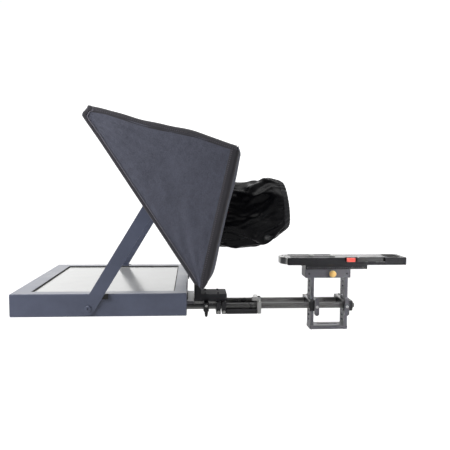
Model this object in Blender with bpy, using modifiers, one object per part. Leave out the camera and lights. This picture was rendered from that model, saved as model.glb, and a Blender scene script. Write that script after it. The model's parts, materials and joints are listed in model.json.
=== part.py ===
"""Studio teleprompter on two rods: a flat monitor, a leaning beam-splitter frame with a fabric hood
and a lens sleeve, and a height-adjustable camera platform.

Frame: +Z up, the presenter is towards -Y and the camera towards +Y. The origin is the middle of the
bottom face of the base plate. Every size is in metres.
"""

import math

import bmesh
import bpy
from mathutils import Matrix, Vector

# ---------------------------------------------------------------- driving sizes
FIT_GAP = 0.0003
RUNNING_GAP = 0.0008

ROD_DIAMETER = 0.0127
ROD_SPACING = 0.060
ROD_HEIGHT = 0.0156
ROD_REAR_Y = 0.2460
ROD_LENGTH = 0.450
ROD_CHAMFER = 0.0007

CLAMP_CHEEK = 0.0120
BASE_FRONT_Y = -0.0392
BASE_REAR_Y = 0.0291
BASE_HEIGHT = 0.0107
BIG_SCREW_Y = -0.020
BIG_SCREW_DIAMETER = 0.0098
SMALL_SCREW_Y = 0.015
SMALL_SCREW_DIAMETER = 0.0068
CLAMP_TOP = 0.0272
PINCH_HEAD_RADIUS = 0.0033
PINCH_HEAD_Z = 0.0052
PINCH_HEAD_LENGTH = 0.0022
BASE_CLAMP_LENGTH = 0.0088
BASE_LEVER_LENGTH = 0.0125
BASE_LEVER_HEIGHT = 0.0082
CLAMP_EDGE = 0.0008

TOWER_WIDTH = 0.062
TOWER_FRONT_Y = -0.109
TOWER_THICKNESS = 0.015
TOWER_REAR_Y = -0.037
TOWER_FOOT_HEIGHT = 0.0150
TOWER_CLAMP_FRONT_Y = -0.089
TOWER_CLAMP_FRONT_LENGTH = 0.012
TOWER_CLAMP_REAR_Y = -0.061
TOWER_CLAMP_REAR_LENGTH = 0.010
TOWER_CLAMP_FRONT_LOW = 0.0060
TOWER_LEVER_LENGTH = 0.0215
TOWER_LEVER_UP = 0.0050

CASE_WIDTH = 0.390
CASE_FRONT_Y = -0.455
CASE_REAR_Y = -0.124
CASE_BOTTOM = 0.0335
CASE_TOP = 0.0770
CASE_WALL = 0.0022
SCREEN_SIDE_BEZEL = 0.026
SCREEN_FRONT_Y = -0.4215
SCREEN_LENGTH = 0.2740
PANEL_MARGIN = 0.005
PANEL_THICKNESS = 0.0018
BACKLIGHT_DEPTH = 0.0140
COVER_THICKNESS = 0.0020
BOARD_STAND = 0.0060
BOARD_THICKNESS = 0.0016
TRAY_WIDTH = 0.120
TRAY_FRONT_Y = -0.330
TRAY_RIM = 0.018
TRAY_WINDOW_LENGTH = 0.140

HINGE_Y = -0.099
HINGE_Z = 0.092
HINGE_RADIUS = 0.0060
HINGE_PIN_DIAMETER = 0.0050
HINGE_SLOT_WIDTH = 0.022
HINGE_FOOT_HEIGHT = 0.0021
GLASS_LEAN = math.radians(31.6)
GLASS_SIDE_ROOM = 0.0005
GLASS_FRAME_LOW = 0.0100
GLASS_TOP_ROOM = 0.01369
RAIL_WIDTH = 0.0120
RAIL_DEPTH = 0.0130
GLASS_THICKNESS = 0.0030
GLASS_REBATE = 0.0055

ARM_THICKNESS = 0.0030
ARM_WIDTH = 0.0245
ARM_PIVOT_Y = -0.3085
ARM_PIVOT_Z = 0.0500
ARM_TOP_ALONG = 0.1780
ARM_TOP_BACK = 0.0026
ARM_SCREW_DIAMETER = 0.0060
ARM_HEAD_THICKNESS = 0.0026
ARM_SCREW_HEAD_RADIUS = 0.0058
ARM_KNOB_RADIUS = 0.0085
ARM_STOP_DEPTH = 0.0055

HOOD_SIDE_ROOM = 0.0090
HOOD_CLOTH = 0.0030
HOOD_FRONT_TOP = (-0.3135, 0.4280)
HOOD_REAR_TOP = (-0.0290, 0.3545)
HOOD_SEAM_KNEE = (-0.0726, 0.1646)
HOOD_SEAM_FOOT = (-0.0880, 0.0970)
HOOD_TIP = (-0.0920, 0.0855)
HOOD_FRONT_FOOT = (-0.1095, 0.0970)
HOOD_REAR_BULGE = 0.0085
LENS_HOLE_RADIUS = 0.058
LENS_HOLE_Z = 0.2180
STAY_DIAMETER = 0.0080
STAY_SIDE_ROOM = 0.0165
STAY_PIVOT_UP = 0.0180
STAY_PIVOT_BACK = 0.0150
STAY_LUG_DEPTH = 0.0070
STAY_LUG_HEIGHT = 0.0080
STAY_BAR_Y = -0.0400
STAY_BAR_Z = 0.3440

UPRIGHT_WIDTH = 0.036
UPRIGHT_THICKNESS = 0.0074
UPRIGHT_FRONT_Y = 0.1526
UPRIGHT_REAR_Y = 0.2295
UPRIGHT_LOW = -0.0337
UPRIGHT_HIGH = 0.0752
FOOT_BAR_HEIGHT = 0.0085
CHEESE_SLOT_LENGTH = 0.0180
CHEESE_SLOT_HEIGHT = 0.0060
CHEESE_PITCH = 0.0110
CHEESE_COUNT = 9
BRIDGE_LENGTH = 0.021
BRIDGE_LOW = 0.0050
BRIDGE_HIGH = 0.0275
WING_UP = 0.0160
WING_DOWN = 0.0150
LEVER_THICKNESS = 0.0075
HEAD_WIDTH = 0.044
HEAD_FRONT_Y = 0.1390
HEAD_REAR_Y = 0.2420
HEAD_TOP = 0.0950
KNOB_RADIUS = 0.0078
KNOB_LENGTH = 0.0095
KNOB_Y = 0.1996

SLEEVE_CLOTH_THICKNESS = 0.0030
SLEEVE_RINGS = (
    # y and z of the ring's centre, lean of its plane from upright in degrees, radius
    (-0.0478, 0.2180, 12.4, 0.0740),
    (-0.0100, 0.2180, 8.0, 0.0690),
    (0.0300, 0.2220, 0.0, 0.0650),
    (0.0620, 0.2300, -6.0, 0.0610),
    (0.0960, 0.2370, -8.0, 0.0500),
)

SLIDE_PLATE_WIDTH = 0.048
SLIDE_PLATE_FRONT_Y = 0.1390
SLIDE_PLATE_REAR_Y = 0.2790
SLIDE_PLATE_HEIGHT = 0.0096
ADAPTER_WIDTH = 0.060
ADAPTER_FRONT_Y = 0.0980
ADAPTER_REAR_Y = 0.3660
ADAPTER_HEIGHT = 0.0170
ADAPTER_NOSE_LENGTH = 0.0142
ADAPTER_NOSE_WIDTH = 0.030
POCKET_FRONT_Y = 0.2260
POCKET_REAR_Y = 0.3180
POCKET_DEPTH = 0.0080
POCKET_HEIGHT = 0.0100
RELEASE_BUTTON_LENGTH = 0.0190
RELEASE_LEVER_LENGTH = 0.0540

BUTTON_RADIUS = 0.0040
BUTTON_GAP = 0.0004
BUTTON_STAND = 0.0015
BUTTON_ROW_X = 0.110
BUTTON_ROW_PITCH = 0.018
BUTTON_ROW_Z = 0.0580
BUTTON_FLANGE = 0.0012
BUTTON_FLANGE_DEPTH = 0.0058
BUTTON_DEPTH = 0.0070
SOCKET_X = -0.120
SOCKET_RADIUS = 0.0070
SOCKET_HOLE_RADIUS = 0.0036
SOCKET_DEPTH = 0.0120
SOCKET_STAND = 0.0026

ROUND = 32
SMALL_ROUND = 20

# ---------------------------------------------------------------- worked-out places
ROD_RADIUS = ROD_DIAMETER / 2
ROD_BORE = ROD_RADIUS + FIT_GAP
ROD_FRONT_Y = ROD_REAR_Y - ROD_LENGTH
CLAMP_WIDTH = ROD_SPACING + 2 * CLAMP_CHEEK
CASE_HALF = CASE_WIDTH / 2
SCREEN_WIDTH = CASE_WIDTH - 2 * SCREEN_SIDE_BEZEL
CASE_INNER_HALF = CASE_HALF - CASE_WALL
TOWER_FOOT_LOW = CLAMP_TOP + FIT_GAP
TOWER_FOOT_HIGH = TOWER_FOOT_LOW + TOWER_FOOT_HEIGHT
TOWER_BACK_Y = TOWER_FRONT_Y + TOWER_THICKNESS
TOWER_TOP = HINGE_Z - HINGE_RADIUS - HINGE_FOOT_HEIGHT - 2 * FIT_GAP
SCREEN_REAR_Y = SCREEN_FRONT_Y + SCREEN_LENGTH
PANEL_TOP = CASE_TOP - CASE_WALL - FIT_GAP
GLASS_HALF = CASE_HALF - GLASS_SIDE_ROOM
GLASS_UP = Vector((-math.sin(GLASS_LEAN), math.cos(GLASS_LEAN)))
GLASS_BACK = Vector((math.cos(GLASS_LEAN), math.sin(GLASS_LEAN)))
HINGE_POINT = Vector((HINGE_Y, HINGE_Z))
ARM_PIVOT = Vector((ARM_PIVOT_Y, ARM_PIVOT_Z))
ARM_REACH = HINGE_POINT + GLASS_UP * ARM_TOP_ALONG + GLASS_BACK * ARM_TOP_BACK - ARM_PIVOT
RAIL_BACK = RAIL_DEPTH / 2
STAY_LEG_HALF = GLASS_HALF - STAY_SIDE_ROOM
ARM_INNER_X = CASE_HALF + RUNNING_GAP
ARM_OUTER_X = ARM_INNER_X + ARM_THICKNESS
HEAD_INNER_X = ARM_OUTER_X + FIT_GAP
HOOD_FALL = (HOOD_FRONT_TOP[1] - HOOD_REAR_TOP[1]) / (HOOD_REAR_TOP[0] - HOOD_FRONT_TOP[0])
HOOD_ABOVE_HINGE = HOOD_FRONT_TOP[1] - HINGE_Z - HOOD_FALL * (HINGE_Y - HOOD_FRONT_TOP[0])
GLASS_FRAME_HIGH = HOOD_ABOVE_HINGE / (GLASS_UP.y + HOOD_FALL * GLASS_UP.x) - GLASS_TOP_ROOM
HOOD_INNER_HALF = CASE_HALF + HOOD_SIDE_ROOM
HOOD_OUTER_HALF = HOOD_INNER_HALF + HOOD_CLOTH
ROD_SIDES = (("left", -ROD_SPACING / 2), ("right", ROD_SPACING / 2))
SIDES = (("left", -1), ("right", 1))
HEAD_LOW = UPRIGHT_HIGH + FIT_GAP
SLIDE_LOW = HEAD_TOP + FIT_GAP
SLIDE_HIGH = SLIDE_LOW + SLIDE_PLATE_HEIGHT
ADAPTER_LOW = SLIDE_HIGH + FIT_GAP
ADAPTER_HIGH = ADAPTER_LOW + ADAPTER_HEIGHT
POCKET_X = ADAPTER_WIDTH / 2 - POCKET_DEPTH
POCKET_LOW = ADAPTER_HIGH - POCKET_HEIGHT
POCKET_PIECE_LOW = POCKET_LOW + FIT_GAP
POCKET_PIECE_HEIGHT = POCKET_HEIGHT - 3 * FIT_GAP
RELEASE_BUTTON_Y = POCKET_FRONT_Y + 0.0140
RELEASE_PIVOT_Y = RELEASE_BUTTON_Y + RELEASE_BUTTON_LENGTH / 2 + 0.0080


def clear_scene():
    """Removes every object and collection of the scene."""
    for obj in list(bpy.data.objects):
        bpy.data.objects.remove(obj, do_unlink=True)
    for collection in list(bpy.data.collections):
        bpy.data.collections.remove(collection)


clear_scene()
PARTS = bpy.data.collections.new("teleprompter")
CUTTERS = bpy.data.collections.new("cutters")
bpy.context.scene.collection.children.link(PARTS)
bpy.context.scene.collection.children.link(CUTTERS)


# ---------------------------------------------------------------- materials
def material(name, colour, roughness, metallic=0.0):
    """A Principled material with one colour, roughness and metallic value."""
    made = bpy.data.materials.new(name)
    made.use_nodes = True
    shader = made.node_tree.nodes["Principled BSDF"]
    shader.inputs["Base Color"].default_value = (*colour, 1.0)
    shader.inputs["Roughness"].default_value = roughness
    shader.inputs["Metallic"].default_value = metallic
    made.diffuse_color = (*colour, 1.0)
    return made


SLATE_PAINT = material("slate_paint", (0.105, 0.120, 0.165), 0.45)
BLACK_ANODISED = material("black_anodised", (0.030, 0.030, 0.036), 0.40, 0.6)
GREY_ANODISED = material("grey_anodised", (0.075, 0.075, 0.090), 0.40, 0.6)
SATIN_SILVER = material("satin_silver", (0.60, 0.60, 0.60), 0.35, 1.0)
BRASS = material("brass", (0.70, 0.45, 0.12), 0.30, 1.0)
BLACK_RUBBER = material("black_rubber", (0.020, 0.020, 0.020), 0.70)
HOOD_CLOTH_MATERIAL = material("hood_cloth", (0.060, 0.063, 0.085), 0.85)
SLEEVE_CLOTH = material("sleeve_cloth", (0.015, 0.015, 0.017), 0.55)
GLASS = material("splitter_glass", (0.80, 0.85, 0.88), 0.03)
SCREEN = material("screen_film", (0.55, 0.56, 0.56), 0.30)
BOARD = material("board_green", (0.02, 0.16, 0.07), 0.50)
BLACK_PLASTIC = material("black_plastic", (0.030, 0.030, 0.032), 0.50)
RED_PLASTIC = material("red_plastic", (0.75, 0.05, 0.04), 0.40)
LIGHT_GUIDE = material("light_guide", (0.70, 0.71, 0.72), 0.30)


# ---------------------------------------------------------------- building blocks
def place(name, mesh, look, home=PARTS, parent=None):
    """Makes an object of a mesh, with its material, in its collection."""
    obj = bpy.data.objects.new(name, mesh)
    home.objects.link(obj)
    if look is not None:
        mesh.materials.clear()
        mesh.materials.append(look)
    if parent is not None:
        obj.parent = parent
    if home == CUTTERS:
        obj.hide_render = True
        obj.display_type = "WIRE"
    return obj


def axis_empty(name, point, lean=0.0, parent=None):
    """An empty on a joint's axis, which the moving pieces are parented to."""
    empty = bpy.data.objects.new(name, None)
    empty.location = point
    empty.rotation_euler = (lean, 0.0, 0.0)
    empty.empty_display_size = 0.02
    empty.parent = parent
    PARTS.objects.link(empty)
    return empty


def mesh_of(bm, name):
    mesh = bpy.data.meshes.new(name)
    bm.to_mesh(mesh)
    bm.free()
    return mesh


def box(name, low, high, look, home=PARTS, parent=None, edge=0.0):
    """A box from its lowest to its highest corner, with its edges rounded by edge."""
    low, high = Vector(low), Vector(high)
    bm = bmesh.new()
    bmesh.ops.create_cube(bm, size=1.0)
    bmesh.ops.scale(bm, vec=high - low, verts=bm.verts)
    obj = place(name, mesh_of(bm, name), look, home, parent)
    obj.location = (low + high) / 2
    if edge:
        bevel = obj.modifiers.new("rounded_edges", "BEVEL")
        bevel.width = edge
        bevel.segments = 1
    return obj


TURNS = {"X": Matrix.Rotation(math.pi / 2, 4, "Y"), "Y": Matrix.Rotation(-math.pi / 2, 4, "X"),
         "Z": Matrix()}


def turned(name, axis, centre, steps, look, home=PARTS, parent=None, segments=ROUND, bore=0.0):
    """A turned piece along axis X, Y or Z through centre.

    steps is a list of (distance along the axis, radius), and bore is the radius of a hole through it.
    """
    bm = bmesh.new()
    profile = [(steps[0][0], bore)] + list(steps) + [(steps[-1][0], bore)]
    points = [bm.verts.new((radius, 0.0, along)) for along, radius in profile]
    edges = [bm.edges.new(pair) for pair in zip(points, points[1:])]
    if bore:
        edges.append(bm.edges.new((points[-1], points[0])))
    bmesh.ops.spin(bm, geom=points + edges, axis=(0, 0, 1), cent=(0, 0, 0), angle=2 * math.pi,
                   steps=segments)
    bmesh.ops.remove_doubles(bm, verts=bm.verts, dist=1e-6)
    bmesh.ops.recalc_face_normals(bm, faces=bm.faces)
    bmesh.ops.transform(bm, matrix=TURNS[axis], verts=bm.verts)
    mesh = mesh_of(bm, name)
    mesh.shade_smooth()
    mesh.set_sharp_from_angle(angle=math.radians(35))
    obj = place(name, mesh, look, home, parent)
    obj.location = centre
    return obj


def cylinder(name, axis, centre, radius, half, look, home=PARTS, parent=None, segments=ROUND):
    return turned(name, axis, centre, [(-half, radius), (half, radius)], look, home, parent, segments)


def extruded(name, outline, low, high, axis, look, home=PARTS, parent=None, edge=0.0):
    """A flat outline, filled and given a thickness from low to high along axis X or Z.

    The outline's points are (y, z) for axis X and (x, y) for axis Z.
    """
    curve = bpy.data.curves.new(name, "CURVE")
    curve.dimensions = "2D"
    curve.fill_mode = "BOTH"
    curve.extrude = (high - low) / 2
    spline = curve.splines.new("POLY")
    spline.points.add(len(outline) - 1)
    for point, (across, up) in zip(spline.points, outline):
        point.co = (across, up, 0.0, 1.0)
    spline.use_cyclic_u = True
    flat = bpy.data.objects.new(name + "_outline", curve)
    CUTTERS.objects.link(flat)
    bpy.context.view_layer.update()
    solid = bpy.data.meshes.new_from_object(flat.evaluated_get(bpy.context.evaluated_depsgraph_get()))
    bpy.data.objects.remove(flat, do_unlink=True)
    bpy.data.curves.remove(curve)
    bm = bmesh.new()
    bm.from_mesh(solid)
    bpy.data.meshes.remove(solid)
    bmesh.ops.remove_doubles(bm, verts=bm.verts, dist=1e-6)
    if axis == "X":
        bmesh.ops.transform(bm, matrix=Matrix(((0, 0, 1, 0), (1, 0, 0, 0), (0, 1, 0, 0), (0, 0, 0, 1))),
                            verts=bm.verts)
    bmesh.ops.recalc_face_normals(bm, faces=bm.faces)
    obj = place(name, mesh_of(bm, name), look, home, parent)
    obj.location["XYZ".index(axis)] = (low + high) / 2
    if edge:
        bevel = obj.modifiers.new("rounded_edges", "BEVEL")
        bevel.width = edge
        bevel.segments = 1
    return obj


def hull_outline(start, start_radius, end, end_radius, steps=10):
    """The outline round two circles: a bar or lever with round ends of its own radii."""
    start, end = Vector(start), Vector(end)
    along = end - start
    heading = math.atan2(along.y, along.x)
    spread = math.acos((start_radius - end_radius) / along.length)
    points = []
    for index in range(steps + 1):
        angle = heading - spread + 2 * spread * index / steps
        points.append((end.x + end_radius * math.cos(angle), end.y + end_radius * math.sin(angle)))
    for index in range(steps + 1):
        angle = heading + spread + (2 * math.pi - 2 * spread) * index / steps
        points.append((start.x + start_radius * math.cos(angle), start.y + start_radius * math.sin(angle)))
    return points


def stadium(centre, length, height, steps=6):
    """The outline of a slot with round ends, along its first axis."""
    half = (length - height) / 2
    points = []
    for side, first in ((1, -math.pi / 2), (-1, math.pi / 2)):
        for index in range(steps + 1):
            angle = first + math.pi * index / steps
            points.append((centre[0] + side * half + height / 2 * math.cos(angle),
                           centre[1] + height / 2 * math.sin(angle)))
    return points


def cut(piece, *cutters):
    """Cuts the cutters out of a piece."""
    for cutter in cutters:
        step = piece.modifiers.new("cut", "BOOLEAN")
        step.operation = "DIFFERENCE"
        step.solver = "EXACT"
        step.object = cutter
    return piece


def rod_cutters(name, low_y, high_y, parent=None):
    """The two cutters of the rod bores through a clamp."""
    middle, half = (low_y + high_y) / 2, (high_y - low_y) / 2 + 0.002
    return [
        cylinder(f"{name}_bore_{side}", "Y", (x, middle, ROD_HEIGHT), ROD_BORE, half, None, CUTTERS, parent)
        for side, x in ROD_SIDES
    ]


def rod_clamp(name, low_y, length, low_z, high_z, look):
    """A block that holds both rods, with a bore for each."""
    half = CLAMP_WIDTH / 2
    block = box(name, (-half, low_y, low_z), (half, low_y + length, high_z), look, edge=CLAMP_EDGE)
    return cut(block, *rod_cutters(name, low_y, low_y + length))


# ---------------------------------------------------------------- rods and base
def make_rods():
    """Two round rods with a small chamfer at each end."""
    half = ROD_LENGTH / 2
    steps = [(-half, ROD_RADIUS - ROD_CHAMFER), (-half + ROD_CHAMFER, ROD_RADIUS),
             (half - ROD_CHAMFER, ROD_RADIUS),
             (half, ROD_RADIUS - ROD_CHAMFER)]
    for side, x in ROD_SIDES:
        turned(f"rod_{side}", "Y", (x, (ROD_FRONT_Y + ROD_REAR_Y) / 2, ROD_HEIGHT), steps, BLACK_ANODISED)


def pinch_screw(name, side, y):
    """The round head of a clamp's pinch screw, on its side face."""
    steps = [(0, PINCH_HEAD_RADIUS), (side * PINCH_HEAD_LENGTH, PINCH_HEAD_RADIUS - FIT_GAP)]
    turned(name, "X", (side * (CLAMP_WIDTH / 2 + FIT_GAP), y, PINCH_HEAD_Z), steps, SATIN_SILVER,
           segments=SMALL_ROUND)


def make_base():
    half = CLAMP_WIDTH / 2
    plate = box("base_plate", (-half, BASE_FRONT_Y, 0), (half, BASE_REAR_Y, BASE_HEIGHT), BLACK_ANODISED,
                edge=CLAMP_EDGE)
    holes = [
        cylinder("big_screw_hole", "Z", (0, BIG_SCREW_Y, 0), BIG_SCREW_DIAMETER / 2, BASE_HEIGHT * 2, None,
                 CUTTERS),
        cylinder("small_screw_hole", "Z", (0, SMALL_SCREW_Y, 0), SMALL_SCREW_DIAMETER / 2, BASE_HEIGHT * 2,
                 None,
                 CUTTERS),
    ]
    cut(plate, *rod_cutters("base_plate", BASE_FRONT_Y, BASE_REAR_Y), *holes)
    front_y = BASE_FRONT_Y - FIT_GAP - BASE_CLAMP_LENGTH
    rear_y = BASE_REAR_Y + FIT_GAP
    rod_clamp("base_clamp_front", front_y, BASE_CLAMP_LENGTH, 0.0, CLAMP_TOP, BLACK_ANODISED)
    rod_clamp("base_clamp_rear", rear_y, BASE_CLAMP_LENGTH, 0.0, CLAMP_TOP, SATIN_SILVER)
    hub_y = rear_y + BASE_CLAMP_LENGTH / 2
    axis = axis_empty("base_lever_axis", (ROD_SPACING / 2, hub_y, CLAMP_TOP))
    outline = hull_outline((0, 0), 0.0050, (0, -BASE_LEVER_LENGTH), 0.0032)
    extruded("base_lever", outline, FIT_GAP, FIT_GAP + BASE_LEVER_HEIGHT, "Z", SATIN_SILVER, parent=axis,
             edge=0.0012)
    pinch_screw("base_clamp_screw", 1, front_y + BASE_CLAMP_LENGTH / 2)


# ---------------------------------------------------------------- tower and hinge
def make_tower():
    half = TOWER_WIDTH / 2
    outline = [
        (TOWER_FRONT_Y, TOWER_FOOT_LOW),
        (TOWER_REAR_Y, TOWER_FOOT_LOW),
        (TOWER_REAR_Y, TOWER_FOOT_HIGH),
        (TOWER_BACK_Y, TOWER_FOOT_HIGH),
        (TOWER_BACK_Y, TOWER_TOP),
        (TOWER_FRONT_Y, TOWER_TOP),
    ]
    extruded("tower_bracket", outline, -half, half, "X", BLACK_ANODISED, edge=CLAMP_EDGE)
    rod_clamp("tower_clamp_front", TOWER_CLAMP_FRONT_Y, TOWER_CLAMP_FRONT_LENGTH, TOWER_CLAMP_FRONT_LOW,
              CLAMP_TOP, BLACK_ANODISED)
    rod_clamp("tower_clamp_rear", TOWER_CLAMP_REAR_Y, TOWER_CLAMP_REAR_LENGTH, 0.0, CLAMP_TOP,
              BLACK_ANODISED)
    pinch_screw("tower_clamp_screw", 1, TOWER_CLAMP_REAR_Y + TOWER_CLAMP_REAR_LENGTH / 2)
    lever_y = TOWER_CLAMP_FRONT_Y + TOWER_CLAMP_FRONT_LENGTH / 2
    axis = axis_empty("tower_lever_axis", (CLAMP_WIDTH / 2, lever_y, ROD_HEIGHT + TOWER_LEVER_UP))
    outline = hull_outline((0, 0), 0.0058, (0, -TOWER_LEVER_LENGTH), 0.0030)
    extruded("tower_lever", outline, FIT_GAP, FIT_GAP + LEVER_THICKNESS, "X", BLACK_PLASTIC, parent=axis,
             edge=0.0010)


def arc(radius, first, last, steps=14):
    """Points of an arc round the origin, with its angles in degrees."""
    turns = [math.radians(first + (last - first) * index / steps) for index in range(steps + 1)]
    return [(radius * math.cos(turn), radius * math.sin(turn)) for turn in turns]


def make_hinge(fixed_axis, moving_axis):
    """A lower leaf with two ears on the tower, an upper leaf on the glass frame, and the pin."""
    half = TOWER_WIDTH / 2
    front, back = TOWER_FRONT_Y - HINGE_Y, TOWER_BACK_Y - HINGE_Y
    low = TOWER_TOP + FIT_GAP - HINGE_Z
    foot_high = low + HINGE_FOOT_HEIGHT
    ears = [(front, low), (back, low), (back, foot_high)]
    ears += arc(HINGE_RADIUS, -40, 220) + [(front, foot_high)]
    lower = extruded("hinge_lower_leaf", ears, -half, half, "X", BLACK_ANODISED, parent=fixed_axis)
    slot_half = HINGE_SLOT_WIDTH / 2
    slot = box("hinge_slot", (-slot_half, -0.02, foot_high), (slot_half, 0.02, 0.02), None, CUTTERS,
               fixed_axis)
    bore = HINGE_PIN_DIAMETER / 2 + FIT_GAP
    cut(lower, slot, cylinder("hinge_lower_bore", "X", (0, 0, 0), bore, half + 0.001, None, CUTTERS,
                              fixed_axis,
                              SMALL_ROUND))
    tongue_half, tongue_top = HINGE_RADIUS * 0.7, GLASS_FRAME_LOW - FIT_GAP
    tongue = arc(HINGE_RADIUS, 135, 405) + [(tongue_half, tongue_top), (-tongue_half, tongue_top)]
    slot_half -= FIT_GAP
    upper = extruded("hinge_upper_leaf", tongue, -slot_half, slot_half, "X", BLACK_ANODISED,
                     parent=moving_axis)
    cut(upper, cylinder("hinge_upper_bore", "X", (0, 0, 0), bore, half, None, CUTTERS, moving_axis,
                        SMALL_ROUND))
    cylinder("hinge_pin", "X", (0, 0, 0), HINGE_PIN_DIAMETER / 2, half + 0.002, SATIN_SILVER,
             parent=fixed_axis,
             segments=SMALL_ROUND)


# ---------------------------------------------------------------- monitor
def make_monitor():
    wall = CASE_WALL
    case = box("monitor_frame", (-CASE_HALF, CASE_FRONT_Y, CASE_BOTTOM), (CASE_HALF, CASE_REAR_Y, CASE_TOP),
               SLATE_PAINT, edge=0.0012)
    pocket = box("monitor_pocket", (-CASE_INNER_HALF, CASE_FRONT_Y + wall, CASE_BOTTOM - 0.01),
                 (CASE_INNER_HALF, CASE_REAR_Y - wall, CASE_TOP - wall), None, CUTTERS)
    window = box("monitor_window", (-SCREEN_WIDTH / 2, SCREEN_FRONT_Y, CASE_TOP - 0.01),
                 (SCREEN_WIDTH / 2, SCREEN_REAR_Y, CASE_TOP + 0.01), None, CUTTERS)
    cut(case, pocket, window, *button_holes(), socket_hole())
    inner = CASE_INNER_HALF - FIT_GAP
    floor_low, floor_high = CASE_BOTTOM, CASE_BOTTOM + COVER_THICKNESS
    box("monitor_bottom_cover", (-inner, CASE_FRONT_Y + wall + FIT_GAP, floor_low),
        (inner, CASE_REAR_Y - wall - FIT_GAP, floor_high), GREY_ANODISED)
    panel = SCREEN_WIDTH / 2 + PANEL_MARGIN
    front, rear = SCREEN_FRONT_Y - PANEL_MARGIN, SCREEN_REAR_Y + PANEL_MARGIN
    panel_low = PANEL_TOP - PANEL_THICKNESS
    box("screen_panel", (-panel, front, panel_low), (panel, rear, PANEL_TOP), SCREEN)
    box("backlight_module", (-panel, front, PANEL_TOP - BACKLIGHT_DEPTH),
        (panel, rear, panel_low - FIT_GAP),
        LIGHT_GUIDE)
    board_z = floor_high + BOARD_STAND
    box("driver_board", (-0.080, -0.300, board_z), (0.060, -0.180, board_z + BOARD_THICKNESS), BOARD)


def button_places():
    return [(BUTTON_ROW_X + BUTTON_ROW_PITCH * index, BUTTON_ROW_Z) for index in range(3)]


def button_holes():
    """The holes in the rear wall for the power button and the two menu buttons."""
    return [
        cylinder(f"button_hole_{index}", "Y", (x, CASE_REAR_Y, z), BUTTON_RADIUS + BUTTON_GAP, 0.006, None,
                 CUTTERS,
                 segments=SMALL_ROUND)
        for index, (x, z) in enumerate(button_places())
    ]



def socket_hole():
    return cylinder("socket_hole", "Y", (SOCKET_X, CASE_REAR_Y, BUTTON_ROW_Z), SOCKET_RADIUS + FIT_GAP,
                    0.006, None,
                    CUTTERS)


def make_monitor_controls():
    """Three push buttons and the power inlet, in the rear wall."""
    names = ("power_button", "menu_button_up", "menu_button_down")
    for name, (x, z) in zip(names, button_places()):
        flange = BUTTON_RADIUS + BUTTON_FLANGE
        steps = [(-BUTTON_DEPTH, flange), (-BUTTON_FLANGE_DEPTH, flange),
                 (-BUTTON_FLANGE_DEPTH, BUTTON_RADIUS),
                 (BUTTON_STAND - BUTTON_GAP, BUTTON_RADIUS), (BUTTON_STAND, BUTTON_RADIUS - BUTTON_GAP)]
        turned(name, "Y", (x, CASE_REAR_Y, z), steps, BLACK_PLASTIC, segments=SMALL_ROUND)
    edge = 2 * FIT_GAP
    steps = [(-SOCKET_DEPTH, SOCKET_RADIUS), (SOCKET_STAND - edge, SOCKET_RADIUS),
             (SOCKET_STAND, SOCKET_RADIUS - edge)]
    barrel = turned("power_socket", "Y", (SOCKET_X, CASE_REAR_Y, BUTTON_ROW_Z), steps, BLACK_PLASTIC)
    hole = cylinder("power_socket_hole", "Y", (SOCKET_X, CASE_REAR_Y + SOCKET_STAND, BUTTON_ROW_Z),
                    SOCKET_HOLE_RADIUS, SOCKET_DEPTH - 0.0010, None, CUTTERS)
    cut(barrel, hole)


def make_tray():
    """The flat tray that carries the monitor on the tower."""
    half = TRAY_WIDTH / 2
    low, high = TOWER_FOOT_LOW, CASE_BOTTOM - FIT_GAP
    tray = box("monitor_tray", (-half, TRAY_FRONT_Y, low), (half, TOWER_FRONT_Y - FIT_GAP, high),
               GREY_ANODISED,
               edge=0.0006)
    middle = (TRAY_FRONT_Y + CASE_REAR_Y) / 2
    window_half, reach = half - TRAY_RIM, TRAY_WINDOW_LENGTH / 2
    window = box("tray_window", (-window_half, middle - reach, low - 0.01),
                 (window_half, middle + reach, high + 0.01), None, CUTTERS)
    cut(tray, window)


# ---------------------------------------------------------------- arms
def make_arms():
    pivot, reach = ARM_PIVOT, ARM_REACH
    shank, bore = ARM_SCREW_DIAMETER / 2, ARM_SCREW_DIAMETER / 2 + FIT_GAP
    middle_x = (ARM_INNER_X + ARM_OUTER_X) / 2
    for name, side in SIDES:
        axis = axis_empty(f"arm_{name}_axis", (0, pivot.x, pivot.y))
        ends = sorted((side * ARM_INNER_X, side * ARM_OUTER_X))
        outline = hull_outline((0, 0), ARM_WIDTH / 2, reach, ARM_WIDTH / 2)
        arm = extruded(f"arm_{name}", outline, *ends, "X", SLATE_PAINT, parent=axis)
        holes = [
            cylinder(f"arm_{name}_hole_{index}", "X", (side * middle_x, *place_yz), bore, ARM_THICKNESS,
                     None, CUTTERS, axis,
                     SMALL_ROUND)
            for index, place_yz in enumerate(((0, 0), tuple(reach)))
        ]
        cut(arm, *holes)
        inner, outer, head = CASE_HALF + FIT_GAP, HEAD_INNER_X, HEAD_INNER_X + ARM_HEAD_THICKNESS
        screw_steps = [(side * inner, shank), (side * outer, shank), (side * outer, ARM_SCREW_HEAD_RADIUS),
                       (side * head, ARM_SCREW_HEAD_RADIUS - BUTTON_GAP * 2)]
        turned(f"arm_pivot_screw_{name}", "X", (0, pivot.x, pivot.y), screw_steps, SATIN_SILVER,
               segments=SMALL_ROUND)
        knob_steps = [(side * inner, shank), (side * outer, shank), (side * outer, ARM_KNOB_RADIUS),
                      (side * head, ARM_KNOB_RADIUS), (side * (head + 0.0008), ARM_KNOB_RADIUS - 0.0015)]
        turned(f"arm_knob_{name}", "X", (0, *reach), knob_steps, BLACK_PLASTIC, parent=axis,
               segments=SMALL_ROUND)
        arm_stop(f"arm_stop_{name}", side, pivot, reach)


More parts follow.
